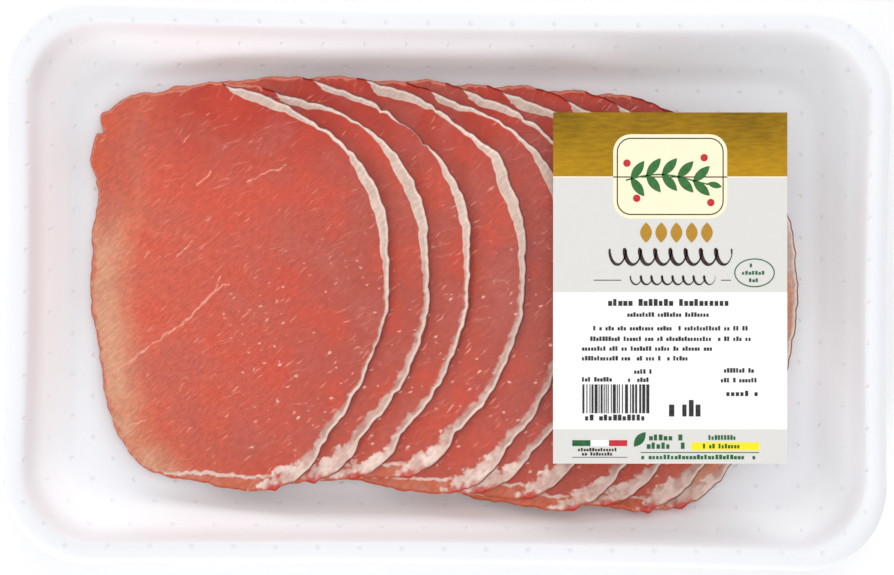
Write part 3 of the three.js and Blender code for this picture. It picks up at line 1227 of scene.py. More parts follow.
@dataclass(frozen=True)
class SlicePile:
    """Eleven slices shingled over the tray's floor, the top one at the left."""

    cut: LoinCut = LoinCut()
    gap: float = 0.3
    floor: float = 4.0
    first_left: float = -92.5
    lays: tuple[Lay, ...] = (
        Lay(0, -0.6, 1, 0.6, (
            Nick((3.4, 43.6), -0.7, 1.3), Nick((2.2, 40.6), 2.1, 1.1), Nick((0.4, 33.2), -0.6, 2.6),
            Nick((1.6, 28.6), 0.8, 1.2), Nick((2.3, 25.2), 0.8, 2.2), Nick((1.6, 14.5), -1.5, 6.5),
            Nick((30.0, 51.6), -1.1, 5.5), Nick((66.5, 35.4), 0.6, 0.9), Nick((72.0, -20.0), 0.9, 16.0),
        )),
        Lay(10.1, 1.1, 1, 0.6, (Nick((42.0, 50.5), 3.3, 13.0), Nick((61.5, 40.0), 0.4, 1.0)), 3.0),
        Lay(20.7, 1.9, 0.99, 0.6, (
            CREST, UPPER_NOTCH, LOWER_NOTCH, Nick((46.0, 49.0), 0.9, 6.0), Nick((66.0, 35.0), 0.8, 14.0),
        ), 2.0),
        Lay(34.7, 1.9, 0.985, 0.6, (CREST, UPPER_NOTCH, Nick((71.0, 31.5), -1.5, 5.0)), 2.0),
        Lay(47.7, -0.2, 1.01, 0.6, (CREST, Nick((50.0, 47.0), 1.5, 9.0)), 6.0),
        Lay(55.9, -0.6, 1.007, -1.5, (CREST, UPPER_NOTCH), 4.0),
        Lay(67.2, -1.4, 1.01, -0.9, (CREST, LOWER_NOTCH), 3.5),
        Lay(79.3, -3.3, 1.034, -1.5, (CREST,), 8.0),
        Lay(90.3, -2.8, 1.007, -3.5, (CREST, UPPER_NOTCH), 8.0),
        Lay(101.6, -4.0, 1.012, -4.3, (CREST,), 10.0),
        Lay(106.0, -4.1, 1, 0.3, (CREST,), 14.0),
    )
    # How a slice comes down over the edge of one below: the least distance, and what softens it
    shortest_reach: float = 9.0
    easing: tuple[float, ...] = (-2.5, -0.8, 0.8, 2.5)
    # How far from its edge a slice below stops to show through, the next one and those under it
    sight_start: float = -4.0
    first_sight_reach: float = 11.5
    sight_reach: float = 14.0
    # How far the tray's walls lift a slice, at places across the tray
    wall_lift: tuple[tuple[float, float], ...] = (
        (-64, 16), (-58.5, 5.4), (-56.5, 2.5), (-54.5, 0.9), (-51.5, 0), (64, 0),
    )
    lift_easing: tuple[float, ...] = (-1.2, 0.0, 1.2)
    rounding: float = 1.15
    edge_steps: tuple[float, ...] = (0, 0.08, 0.22, 0.45, 0.75, 1.15, 1.6, 2.2, 2.9, 3.7, 4.6, 5.6, 6.8)
    inner_shares: tuple[float, ...] = (
        0.95, 0.9, 0.84, 0.78, 0.72, 0.66, 0.6, 0.54, 0.48, 0.42, 0.36, 0.3, 0.24, 0.18, 0.12, 0.06,
    )
    # The side of a slice up from its underside, as distance in from the edge and height; the rings past the
    # edge carry the painted shadow
    side_steps: tuple[tuple[float, float], ...] = ((-0.34, 0.1), (-0.2, 0.5), (-0.02, 0.9))
    under_steps: tuple[float, ...] = (-0.3, 0.75, 2.4, 6.8)
    under_shares: tuple[float, ...] = (0.7, 0.35)
    ripple: float = 0.7
    ripple_length: float = 34.0
    ripple_seed: float = 3.0
    # Low relief of the cut face, left out at the edge
    relief: float = 0.16
    relief_pitch: float = 0.16
    relief_detail: int = 3
    relief_range: tuple[float, float] = (-1.0, 0.6)
    relief_margin: float = 2.5
    relief_seed: float = 7.0
    pattern_seed: float = 0.37

    @property
    def side_rings(self) -> range:
        """The numbers of the rings up a slice's side, after those of its underside."""
        first = len(self.under_steps) + len(self.under_shares)
        return range(first, first + len(self.side_steps))

    def lay(self, index: int) -> Slice:
        """Lays one slice's outline in the tray.

        Args:
            index: The slice's place in the pile, from the top.

        Returns:
            The slice.
        """
        cut, lay = self.cut, self.lays[index]
        pivot = np.array(cut.pivot)
        luck = np.random.default_rng(cut.first_seed + index)
        clockwise = cut.curve()
        swell = cut.swell(index, luck)
        notched = cut.notches(clockwise, lay.nicks, luck)
        run = cut.fat_run(clockwise)
        width = cut.fat_widths(run, notched, index, lay.bare)
        spokes = clockwise - pivot
        radii = np.linalg.norm(spokes, axis=1, keepdims=True)
        grown = spokes * (1 + (swell - notched)[:, None] / radii)
        edge = turned(grown * np.array([1, lay.stretch]), math.radians(lay.turn))
        middle = np.array([self.first_left + lay.along, lay.across]) + pivot
        return Slice(index + 1, middle, pivot, (grown + pivot)[::-1], (edge + middle)[::-1],
                     run[::-1], width[::-1])

    def rest_height(self, pile: Sequence[Slice], index: int, points: np.ndarray) -> np.ndarray:
        """Works out how high a slice lies over the floor.

        Args:
            pile: All slices, from the top.
            index: The slice's place in the pile.
            points: Places along and across the tray.

        Returns:
            The height of its underside at each place.
        """
        height = np.full(len(points), self.floor + self.gap)
        for under in range(index + 1, len(pile)):
            step = self.lays[under].along - self.lays[under - 1].along
            reach = max(step, self.shortest_reach)
            beyond = pile[under].beyond(points) - max(self.easing)
            cover = sum(np.clip(1 - (beyond + shift) / reach, 0, 1) for shift in self.easing)
            height += (self.cut.thickness + self.gap) * cover / len(self.easing)
        lift = np.array(self.wall_lift).T
        for shift in self.lift_easing:
            height += np.interp(points[:, 1] + shift, lift[0], lift[1]) / len(self.lift_easing)
        waves = [noise.noise(Vector((x, y, self.ripple_seed)) / self.ripple_length)
                 for x, y in points.tolist()]
        return height + self.ripple * (0.5 + 0.5 * np.array(waves))

    def ring_shares(self, radii: np.ndarray) -> list[np.ndarray]:
        """Lists each ring's share of the radius, from under the middle round the edge to the top.

        Args:
            radii: How far the edge's points are from the slice's middle.

        Returns:
            The shares, ring by ring.
        """
        def inwards(steps: Sequence[float], inner: Sequence[float]) -> list[np.ndarray]:
            """Lists the shares of rings from the edge inwards."""
            core = 1 - self.edge_steps[-1] / radii
            return [1 - step / radii for step in steps] + [core * share for share in inner]

        under = inwards(self.under_steps, self.under_shares)[::-1]
        side = inwards([step for step, _ in self.side_steps], ())
        return under + side + inwards(self.edge_steps, self.inner_shares)

    def face_relief(self, index: int, local: np.ndarray) -> np.ndarray:
        """Works out the low relief of one slice's face.

        Args:
            index: The slice's place in the pile.
            local: Places on the slice as it was cut.

        Returns:
            The relief at each place.
        """
        seed = Vector((0, 0, self.relief_seed * index))
        grain = [noise.fractal(Vector((x, y, 0)) * self.relief_pitch + seed, 1.0, 2.0, self.relief_detail)
                 for x, y in local.tolist()]
        return self.relief * np.clip(grain, *self.relief_range)

    def drape(self, pile: Sequence[Slice], index: int) -> Drape:
        """Shapes one slice between its draped faces.

        Args:
            pile: All slices, from the top.
            index: The slice's place in the pile.

        Returns:
            The slice's points and what they carry.
        """
        piece = pile[index]
        radii = np.linalg.norm(piece.edge - piece.middle, axis=1)
        rings = self.ring_shares(radii)

        def spread(outline: np.ndarray, middle: np.ndarray) -> np.ndarray:
            """Lays an outline's rings, and its middle twice."""
            spokes = outline - middle
            return np.vstack([*(middle + spokes * ring[:, None] for ring in rings), middle, middle])

        flat = spread(piece.edge, piece.middle)
        local = spread(piece.local, piece.local_middle)
        edge, nearest = piece.nearest_edge(flat)
        edge[-2:] = radii.min()
        height = self.rest_height(pile, index, flat)
        around = len(radii)
        for ring, (step, _) in zip(self.side_rings, self.side_steps):
            edge[ring * around:(ring + 1) * around] = step
        bevel = np.sqrt(np.clip(1 - (1 - np.clip(edge / self.rounding, 0, 1)) ** 2, 0, 1))
        top = height + self.cut.thickness - self.rounding * (1 - bevel)
        top += self.face_relief(index, local) * soft_step(edge / self.relief_margin)
        for ring, (_, rise) in zip(self.side_rings, self.side_steps):
            height[ring * around:(ring + 1) * around] += rise
        over = self.side_rings.stop * around
        height[over:-2] = top[over:-2]
        height[-1] = top[-1]
        return Drape(np.column_stack([flat, height]), local, edge, nearest)

    @staticmethod
    def faces(around: int, point_count: int) -> Faces:
        """Lists a slice's faces.

        Args:
            around: How many points each ring has.
            point_count: How many points there are, with the two middles.

        Returns:
            The point numbers of each face.
        """
        low_middle, high_middle = point_count - 2, point_count - 1
        last = low_middle - around
        faces = skin(low_middle // around, around)
        for step in range(around):
            after = (step + 1) % around
            faces.append((low_middle, after, step))
            faces.append((high_middle, last + step, last + after))
        return faces

    def layers(self, under: Sequence[Slice], points: np.ndarray) -> np.ndarray:
        """Works out how many slices show through from below.

        Args:
            under: The slices below, from the top.
            points: Places along and across the tray.

        Returns:
            Their number at each place, with soft edges.
        """
        layers = np.zeros(len(points))
        for depth, below in enumerate(under):
            reach = self.sight_reach if depth else self.first_sight_reach
            layers += soft_step(1 - (below.beyond(points) - self.sight_start) / reach)
        return layers

    def build(self, effects: Effects) -> list[bpy.types.Object]:
        """Builds all slices over their solids.

        Args:
            effects: The shared node groups.

        Returns:
            The slices, from the top.
        """
        finish = LoinFinish()
        top_material = finish.material("raw_loin_top", effects, TOP_VEINS)
        material = finish.material("raw_loin", effects, ())
        pile = [self.lay(index) for index in range(len(self.lays))]
        pieces = []
        for index, laid in enumerate(pile):
            drape = self.drape(pile, index)
            count = len(drape.points)
            piece = make_piece(laid.name, drape.points, self.faces(len(laid.edge), count))
            seeds = np.full(count, self.pattern_seed * index)
            store(piece, "cut", np.column_stack([drape.local, seeds]))
            store(piece, "edge", drape.edge)
            store(piece, "fat_margin", laid.fat_width[drape.nearest] - drape.edge)
            store(piece, "fat_run", laid.run[drape.nearest])
            store(piece, "layers", self.layers(pile[index + 1:], drape.points[:, :2]))
            piece.data.materials.append(top_material if index == 0 else material)
            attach(piece, BODY)
            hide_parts(f"{laid.name}_lean", f"{laid.name}_fat")
            pieces.append(piece)
        return pieces


# ---- Film ----


@dataclass(frozen=True)
class FilmFinish:
    """Clear film with a faint gloss."""

    gloss_index: float = 1.15
    roughness: float = 0.12

    def material(self) -> bpy.types.Material:
        """Makes the film's material.

        Returns:
            The material.
        """
        material, bench = new_material("clear_film")
        fresnel = bench.add("ShaderNodeFresnel", {"IOR": self.gloss_index}).outputs[0]
        # Only the side that faces the eye shines, as the far one would mirror everything at a slant
        hidden = bench.add("ShaderNodeNewGeometry").outputs["Backfacing"]
        share = bench.product(fresnel, bench.minus(1.0, hidden))
        clear = bench.add("ShaderNodeBsdfTransparent")
        gloss = bench.add("ShaderNodeBsdfAnisotropic", {"Roughness": self.roughness})
        blend = bench.add("ShaderNodeMixShader", {0: share, 1: clear.outputs[0], 2: gloss.outputs[0]})
        finish_material(bench, blend.outputs[0])
        return material


@dataclass(frozen=True)
class Film:
    """The film sealed on the rim, with a faint dome."""

    thickness: float = 0.05
    dome: float = 0.7
    # How far in from the rim's outer edge the dome starts, and over what distance it rises
    dome_start: float = 2.0
    dome_reach: float = 12.0
    lift: float = 0.04
    insets: tuple[float, ...] = (0.8, 1.6, 2.6, 4.0, 6.0, 8.5, 11.5, 14.0)

    def build(self, tray: Tray) -> bpy.types.Object:
        """Builds the film over its solid.

        Args:
            tray: The tray whose rim carries it.

        Returns:
            The film.
        """
        rings = []
        for side, insets in ((0.0, self.insets[::-1]), (self.thickness, self.insets)):
            for inset in insets:
                rise = self.dome * soft_step(np.array((inset - self.dome_start) / self.dome_reach))
                ring = tray.ring(inset, tray.height)
                ring[:, 2] += self.lift + rise + side
                rings.append(ring)
        rings = np.array(rings)
        around = rings.shape[1]
        piece = make_piece("clear_film", rings.reshape(-1, 3), closed_skin(len(rings), around))
        piece.data.materials.append(FilmFinish().material())
        # All light passes through it
        piece.visible_shadow = False
        piece.visible_diffuse = False
        piece.visible_glossy = False
        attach(piece, BODY)
        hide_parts("film")
        return piece


# ---- Label ----


class Ink(Enum):
    """The inks of the label."""

    GOLD = tone(182, 134, 20)
    CREAM = tone(255, 242, 208)
    STONE = tone(221, 220, 216)
    WHITE = tone(254, 254, 254)
    BROWN = tone(46, 24, 12)
    BLACK = tone(30, 30, 32)
    GREEN = tone(4, 94, 42)
    LEAF = tone(40, 108, 44)
    RED = tone(196, 22, 34)
    YELLOW = tone(252, 232, 20)


class Layer(Enum):
    """The order in which the inks are printed, as heights over the paper."""

    FIELD = 0.015
    PANEL = 0.03
    RULE = 0.045
    MOTIF = 0.06


# A row of blocks: left, right, middle height, height of its tallest blocks, and pitch
Row = tuple[float, float, float, float, float]
# A box: left, bottom, right and top
Box = tuple[float, float, float, float]


@dataclass(frozen=True)
class Blocks:
    """How the blocks of a row, or the bars of a code, are drawn by lot."""

    gap_share: float = 0.16
    tall_from: float = 0.62
    low_height: float = 0.72
    least_width: float = 0.62
    width_range: float = 0.2
    bar_seed: int = 5
    bar_widths: tuple[int, ...] = (1, 1, 2, 3)
    bar_gaps: tuple[int, ...] = (1, 1, 2)


@dataclass(frozen=True)
class Pen:
    """How a wavy pen line is drawn, in shares of its wave's length or of the pen."""

    samples: int = 24
    slant: float = 0.22
    mean: float = 0.8
    contrast: float = 0.4
    blunt_end: float = 0.15


class InkSheet:
    """Thin closed shapes of ink on the label, in millimetres from its lower left corner."""

    leaf_samples: int = 13
    oval_samples: int = 40
    corner_samples: int = 9

    def __init__(self) -> None:
        """Starts with no ink."""
        self.points: list[tuple[float, float, float]] = []
        self.faces: list[tuple[int, ...]] = []
        self.inks: list[Colour] = []

    def shape(self, outline: np.ndarray, ink: Ink, layer: Layer) -> None:
        """Prints one filled outline.

        Args:
            outline: Its points, anticlockwise.
            ink: Its ink.
            layer: When it is printed.
        """
        first, count = len(self.points), len(outline)
        for height in (0.0, layer.value):
            self.points += [(x, y, height) for x, y in outline]
        faces = [tuple(range(first, first + count))[::-1], tuple(range(first + count, first + 2 * count))]
        for step in range(count):
            after = (step + 1) % count
            faces.append((first + step, first + after, first + count + after, first + count + step))
        self.faces += faces
        self.inks += [ink.value] * len(faces)

    def band(self, inner: np.ndarray, outer: np.ndarray, ink: Ink, layer: Layer, closed: bool) -> None:
        """Prints a band between two lines of equal length.

        Args:
            inner: The line on the band's left, seen along it.
            outer: The line on its right.
            ink: Its ink.
            layer: When it is printed.
            closed: Whether its end joins its start.
        """
        first, count = len(self.points), len(inner)
        for height in (0.0, layer.value):
            for line in (inner, outer):
                self.points += [(x, y, height) for x, y in line]
        faces = []
        for step in range(count if closed else count - 1):
            here = [first + step + count * part for part in range(4)]
            there = [first + (step + 1) % count + count * part for part in range(4)]
            faces += [
                (here[0], there[0], there[1], here[1]), (here[3], there[3], there[2], here[2]),
                (here[2], there[2], there[0], here[0]), (here[1], there[1], there[3], here[3]),
            ]
        if not closed:
            here = [first + count * part for part in range(4)]
            there = [first + count - 1 + count * part for part in range(4)]
            faces += [(here[0], here[1], here[3], here[2]), (there[2], there[3], there[1], there[0])]
        self.faces += faces
        self.inks += [ink.value] * len(faces)

    def box(self, ink: Ink, box: Box, layer: Layer) -> None:
        """Prints a plain box."""
        left, bottom, right, top = box
        self.shape(np.array([(left, bottom), (right, bottom), (right, top), (left, top)]), ink, layer)

    def rows(self, ink: Ink, rows: Sequence[Row]) -> None:
        """Prints rows of plain blocks in groups, which stand in for small print.

        Args:
            ink: Their ink.
            rows: The rows.
        """
        plan = Blocks()
        for left, right, middle, height, pitch in rows:
            luck = np.random.default_rng(int(left * 10 + middle * 100))
            bottom = middle - height / 2
            for step in range(int((right - left) / pitch)):
                present, tall, width = luck.random(3)
                if present < plan.gap_share:
                    continue
                start = left + step * pitch
                end = start + pitch * (plan.least_width + plan.width_range * width)
                share = 1.0 if tall > plan.tall_from else plan.low_height
                self.box(ink, (start, bottom, end, bottom + height * share), Layer.MOTIF)

    def bars(self, ink: Ink, box: Box, module: float) -> None:
        """Prints upright bars.

        Args:
            ink: Their ink.
            box: What they fill.
            module: The width of the thinnest.
        """
        plan = Blocks()
        luck = np.random.default_rng(plan.bar_seed)
        start, bottom, right, top = box
        while start < right - module:
            width = module * luck.choice(plan.bar_widths)
            self.box(ink, (start, bottom, min(start + width, right), top), Layer.MOTIF)
            start += width + module * luck.choice(plan.bar_gaps)

    def leaf(self, ink: Ink, middle: tuple[float, float], half_length: float, half_width: float,
             turn: float) -> None:
        """Prints a pointed leaf.

        Args:
            ink: Its ink.
            middle: Its middle.
            half_length: Half its length.
            half_width: Half its greatest width.
            turn: Its turn in radians.
        """
        share = np.linspace(-1, 1, self.leaf_samples)
        side = half_width * (1 - share ** 2)
        lower = np.column_stack([share * half_length, -side])
        upper = np.column_stack([share * half_length, side])[::-1][1:-1]
        self.shape(turned(np.concatenate([lower, upper]), turn) + middle, ink, Layer.MOTIF)

    def oval(self, middle: tuple[float, float], half_length: float, half_width: float) -> np.ndarray:
        """Lays an oval's outline."""
        angles = np.linspace(0, 2 * math.pi, self.oval_samples, endpoint=False)
        return np.column_stack([half_length * np.cos(angles), half_width * np.sin(angles)]) + middle

    def ring(self, ink: Ink, middle: tuple[float, float], half_length: float, half_width: float,
             line: float) -> None:
        """Prints an oval line."""
        inner, outer = (self.oval(middle, half_length - inset, half_width - inset) for inset in (line, 0.0))
        self.band(inner, outer, ink, Layer.MOTIF, closed=True)

    def wave(self, ink: Ink, left: float, right: float, middle: float, swing: float, length: float,
             pen: float) -> None:
        """Prints a wavy pen line, thin on its way up and thick on its way down.

        Args:
            ink: Its ink.
            left: Where it starts.
            right: Where it ends.
            middle: Its middle height.
            swing: How far it swings up and down.
            length: The length of one wave.
            pen: Half the line's usual width.
        """
        plan = Pen()
        across = np.linspace(left, right, plan.samples * int((right - left) / length))
        turn = 2 * math.pi * (across - left) / length
        slanted = across + plan.slant * length * np.cos(turn)
        line = np.column_stack([slanted, middle + swing * np.sin(turn)])
        along = np.gradient(line, axis=0)
        along /= np.linalg.norm(along, axis=1, keepdims=True)
        normal = np.column_stack([-along[:, 1], along[:, 0]])
        taper = np.minimum(1.0, np.minimum(across - left, right - across) / length + plan.blunt_end)
        half = (pen * (plan.mean - plan.contrast * along[:, 1]) * taper)[:, None]
        self.band(line + normal * half, line - normal * half, ink, Layer.MOTIF, closed=False)

    def rounded(self, box: Box, inset: float, radius: float) -> np.ndarray:
        """Lays a box's outline with rounded corners.

        Args:
            box: The box.
            inset: How far inside it the outline runs.
            radius: The radius of the box's own corners.

        Returns:
            The outline's points, anticlockwise.
        """
        left, bottom, right, top = box[0] + inset, box[1] + inset, box[2] - inset, box[3] - inset
        radius -= inset
        corners = ((right, top, -1, -1), (left, top, 1, -1), (left, bottom, 1, 1), (right, bottom, -1, 1))
        points = []
        for quarter, (x, y, side_x, side_y) in enumerate(corners):
            angles = (quarter + np.linspace(0, 1, self.corner_samples)) * math.pi / 2
            centre = np.array([x + side_x * radius, y + side_y * radius])
            points.append(centre + radius * np.column_stack([np.cos(angles), np.sin(angles)]))
        return np.concatenate(points)


@dataclass(frozen=True)
class Sprig:
    """A sprig of herb with berries."""

    stem_start: tuple[float, float] = (18.6, 72.6)
    stem_length: float = 22.8
    stem_swing: float = 1.5
    stem_bend: float = 4.2
    stem_samples: int = 25
    half_stem: float = 0.2
    leaf_pairs: int = 5
    first_leaf: float = 20.2
    leaf_pitch: float = 4.0
    leaf_away: tuple[float, float] = (2.4, 2.6)
    half_leaf: tuple[float, float] = (3.0, 1.15)
    first_lean: float = 0.95
    lean_step: float = 0.05
    end_leaf: tuple[float, float] = (41.4, 71.4)
    half_end_leaf: tuple[float, float] = (1.9, 0.8)
    end_lean: float = -0.25
    berries: tuple[tuple[float, float], ...] = ((18.9, 77.0), (21.4, 68.0), (38.7, 78.4), (40.4, 66.9))
    berry_radius: float = 0.95

    def height(self, share: np.ndarray | float) -> np.ndarray | float:
        """Works out how high the stem runs at shares of its length."""
        return self.stem_start[1] + self.stem_swing * np.sin(self.stem_bend * share)

    def put_on(self, sheet: InkSheet) -> None:
        """Prints the sprig.

        Args:
            sheet: The sheet that takes it.
        """
        start = self.stem_start[0]
        shares = np.linspace(0, 1, self.stem_samples)
        stem = np.column_stack([start + self.stem_length * shares, self.height(shares)])
        half = np.array([0.0, self.half_stem])
        sheet.band(stem + half, stem - half, Ink.LEAF, Layer.RULE, closed=False)
        for pair in range(self.leaf_pairs):
            root_x = self.first_leaf + self.leaf_pitch * pair
            root_y = self.height((root_x - start) / self.stem_length)
            lean = self.first_lean - self.lean_step * pair
            for side in (1, -1):
                middle = (root_x + self.leaf_away[0] * math.cos(lean),
                          root_y + side * self.leaf_away[1] * math.sin(lean))
                sheet.leaf(Ink.LEAF, middle, *self.half_leaf, side * lean)
        sheet.leaf(Ink.LEAF, self.end_leaf, *self.half_end_leaf, self.end_lean)
        for berry in self.berries:
            outline = sheet.oval(berry, self.berry_radius, self.berry_radius)
            sheet.shape(outline, Ink.RED, Layer.MOTIF)


@dataclass(frozen=True)
class LabelPrint:
    """What is printed on the label."""

    width: float = 60.0
    length: float = 90.0
    band_bottom: float = 73.6
    band_line: float = 0.3
    stone_bottom: float = 43.9
    foot_top: float = 8.8
    panel: Box = (15.4, 62.8, 44.6, 84.4)
    panel_corner: float = 4.5
    panel_border: float = 0.9
    panel_line: float = 0.3
    lozenges: int = 5
    first_lozenge: tuple[float, float] = (23.8, 59.2)
    lozenge_pitch: float = 3.9
    half_lozenge: tuple[float, float] = (2.6, 1.5)
    # Wavy lines: left, right, middle height, swing, length of a wave, and half the pen's width
    waves: tuple[tuple[float, ...], ...] = (
        (13.6, 46.6, 53.0, 2.0, 3.9, 0.46), (19.2, 41.6, 47.0, 1.1, 2.7, 0.26),
    )
    wave_rules: tuple[Box, ...] = ((10.4, 46.9, 17.4, 47.1), (43.0, 46.9, 45.6, 47.1))
    ring_middle: tuple[float, float] = (51.6, 48.9)
    half_ring: tuple[float, float] = (5.2, 3.7)
    ring_line: float = 0.28
    ring_rows: tuple[Row, ...] = (
        (50.4, 52.8, 50.8, 0.95, 0.85), (48.4, 54.8, 48.9, 0.95, 0.85), (50.2, 53.0, 47.0, 0.95, 0.85),
    )
    white_rows: tuple[Row, ...] = (
        *((*place, 1.15, 0.78) for place in (
            (19.0, 41.2, 38.2), (9.5, 50.8, 34.7), (9.5, 52.0, 32.0), (7.4, 41.5, 29.5), (7.4, 35.0, 27.0),
            (7.4, 16.2, 21.6), (19.2, 25.9, 23.6), (19.2, 25.9, 21.5), (43.0, 52.4, 23.9), (43.0, 52.4, 21.4),
        )),
        (14.1, 45.9, 41.3, 1.75, 1.3), (43.2, 53.6, 18.0, 1.35, 1.2),
    )
    code: Box = (7.5, 12.9, 25.1, 20.3)
    code_module: float = 0.26
    code_rows: tuple[Row, ...] = ((8.2, 24.6, 11.8, 1.5, 1.2), (28.0, 38.2, 14.2, 4.2, 1.7))
    block_inks: tuple[Ink, ...] = (Ink.GREEN, Ink.WHITE, Ink.RED)
    first_block: Box = (4.9, 4.5, 9.6, 6.0)
    block_pitch: float = 4.7
    brown_rows: tuple[Row, ...] = ((6.4, 17.6, 3.6, 0.85, 0.72), (7.4, 16.8, 2.5, 0.85, 0.72))
    brown_rule: Box = (4.9, 1.55, 19.0, 1.7)
    yellow_strip: Box = (35.4, 3.4, 52.8, 5.5)
    green_rule: Box = (22.4, 2.75, 52.8, 2.95)
    foot_leaf: tuple[float, float] = (22.2, 6.2)
    half_foot_leaf: tuple[float, float] = (2.4, 1.1)
    foot_leaf_turn: float = 0.9
    green_rows: tuple[Row, ...] = (
        (24.6, 34.8, 6.7, 1.5, 1.25), (24.0, 34.8, 4.6, 1.6, 1.25), (39.8, 47.4, 6.7, 1.2, 0.8),
        (38.4, 49.2, 4.5, 1.2, 0.8), (22.6, 52.8, 1.7, 1.15, 0.95),
    )

    def fields(self, sheet: InkSheet) -> None:
        """Prints the fields of colour and the cream panel.

        Args:
            sheet: The sheet that takes them.
        """
        band_line = (0, self.band_bottom - self.band_line, self.width, self.band_bottom)
        sheet.box(Ink.STONE, (0, self.stone_bottom, self.width, self.band_bottom), Layer.FIELD)
        sheet.box(Ink.STONE, (0, 0, self.width, self.foot_top), Layer.FIELD)
        sheet.box(Ink.CREAM, band_line, Layer.PANEL)
        sheet.shape(sheet.rounded(self.panel, 0, self.panel_corner), Ink.CREAM, Layer.PANEL)
        inner = sheet.rounded(self.panel, self.panel_border + self.panel_line, self.panel_corner)
        outer = sheet.rounded(self.panel, self.panel_border, self.panel_corner)
        sheet.band(inner, outer, Ink.BROWN, Layer.RULE, closed=True)

    def headings(self, sheet: InkSheet) -> None:
        """Prints the lozenges, the wavy lines with their rules, and the oval ring.

        Args:
            sheet: The sheet that takes them.
        """
        across, up = self.first_lozenge
        for step in range(self.lozenges):
            middle = (across + self.lozenge_pitch * step, up)
            sheet.leaf(Ink.GOLD, middle, *self.half_lozenge, math.pi / 2)
        for wave in self.waves:
            sheet.wave(Ink.BROWN, *wave)
        for rule in self.wave_rules:
            sheet.box(Ink.BROWN, rule, Layer.RULE)
        sheet.ring(Ink.GREEN, self.ring_middle, *self.half_ring, self.ring_line)
        sheet.rows(Ink.GREEN, self.ring_rows)

    def small_print(self, sheet: InkSheet) -> None:
        """Prints the rows of blocks and the bars on the white field.

        Args:
            sheet: The sheet that takes them.
        """
        sheet.rows(Ink.BLACK, self.white_rows)
        sheet.bars(Ink.BLACK, self.code, self.code_module)
        sheet.rows(Ink.BLACK, self.code_rows)

    def foot(self, sheet: InkSheet) -> None:
        """Prints the foot: three blocks, a leaf, green rows and a yellow strip.

        Args:
            sheet: The sheet that takes it.
        """
        left, bottom, right, top = self.first_block
        for step, ink in enumerate(self.block_inks):
            shift = self.block_pitch * step
            sheet.box(ink, (left + shift, bottom, right + shift, top), Layer.RULE)
        sheet.rows(Ink.BROWN, self.brown_rows)
        sheet.box(Ink.BROWN, self.brown_rule, Layer.RULE)
        sheet.box(Ink.YELLOW, self.yellow_strip, Layer.PANEL)
        sheet.box(Ink.GREEN, self.green_rule, Layer.RULE)
        sheet.leaf(Ink.GREEN, self.foot_leaf, *self.half_foot_leaf, self.foot_leaf_turn)
        sheet.rows(Ink.GREEN, self.green_rows)

    def sheet(self) -> InkSheet:
        """Prints the whole label.

        Returns:
            The printed sheet.
        """
        sheet = InkSheet()
        self.fields(sheet)
        Sprig().put_on(sheet)
        self.headings(sheet)
        self.small_print(sheet)
        self.foot(sheet)
        return sheet


@dataclass(frozen=True)
class PaperFinish:
    """Coated white paper with a brushed ochre band across its top, and the inks on it."""

    white: Colour = tone(254, 254, 254)
    dark_ochre: Colour = tone(116, 88, 6)
    light_ochre: Colour = tone(190, 143, 20)
    # Strokes of the brush run across the label: stretch across and up, size and spread
    stroke_stretch: tuple[float, float] = (0.35, 1.5)
    strokes: tuple[float, float] = (1.3, 0.22)
    drift: tuple[float, float] = (16.0, 0.25)
    height_share: float = 0.5
    stroke_share: float = 0.3
    drift_share: float = 0.3
    # Ink that took badly
    ink_cloud: tuple[float, float] = (1.2, 0.4)
    ink_loss: float = 0.05
    grain: Cloud = (0.5, 3.0)
    grain_relief: float = 0.008
    roughness: float = 0.45
    specular: float = 0.14

    @staticmethod
    def mottled(bench: Bench, effects: Effects, place: Feed, kind: tuple[float, float]) -> Feed:
        """Reads blotches of a size and a spread."""
        return effects.mottle.use(bench, place, {"Size": kind[0], "Spread": kind[1]})

    def paper(self, effects: Effects, plan: LabelPrint) -> bpy.types.Material:
        """Makes the paper's material.

        Args:
            effects: The shared node groups.
            plan: The label's print.

        Returns:
            The material.
        """
        material, bench = new_material("label_paper")
        place = bench.attribute("print_place", "Vector")
        across, up, _ = bench.split(place)
        brushed = bench.join(bench.product(across, self.stroke_stretch[0]),
                             bench.product(up, self.stroke_stretch[1]))
        strokes = self.mottled(bench, effects, brushed, self.strokes)
        drift = self.mottled(bench, effects, place, self.drift)
        height = bench.smooth(up, plan.length, plan.band_bottom)
        light = bench.sum(bench.product(height, self.height_share),
                          bench.product(strokes, self.stroke_share),
                          bench.product(drift, self.drift_share))
        ochre = bench.colour(light, self.dark_ochre, self.light_ochre)
        band = bench.math("GREATER_THAN", up, plan.band_bottom)
        self.finish(bench, bench.colour(band, self.white, ochre), place)
        return material

    def inks(self, effects: Effects) -> bpy.types.Material:
        """Makes the inks' material, which reads each shape's ink from the mesh.

        Args:
            effects: The shared node groups.

        Returns:
            The material.
        """
        material, bench = new_material("label_inks")
        place = bench.object_place()
        ink = bench.attribute("ink", "Color")
        cloud = self.mottled(bench, effects, place, self.ink_cloud)
        self.finish(bench, bench.colour(bench.product(cloud, self.ink_loss), ink, self.white), place)
        return material

    def finish(self, bench: Bench, colour: Feed, place: Feed) -> None:
        """Gives a colour the sheen of coated paper."""
        relief = bench.bump(bench.noise(place, *self.grain), self.grain_relief)
        finish_principled(bench, colour, relief, self.roughness, self.specular)


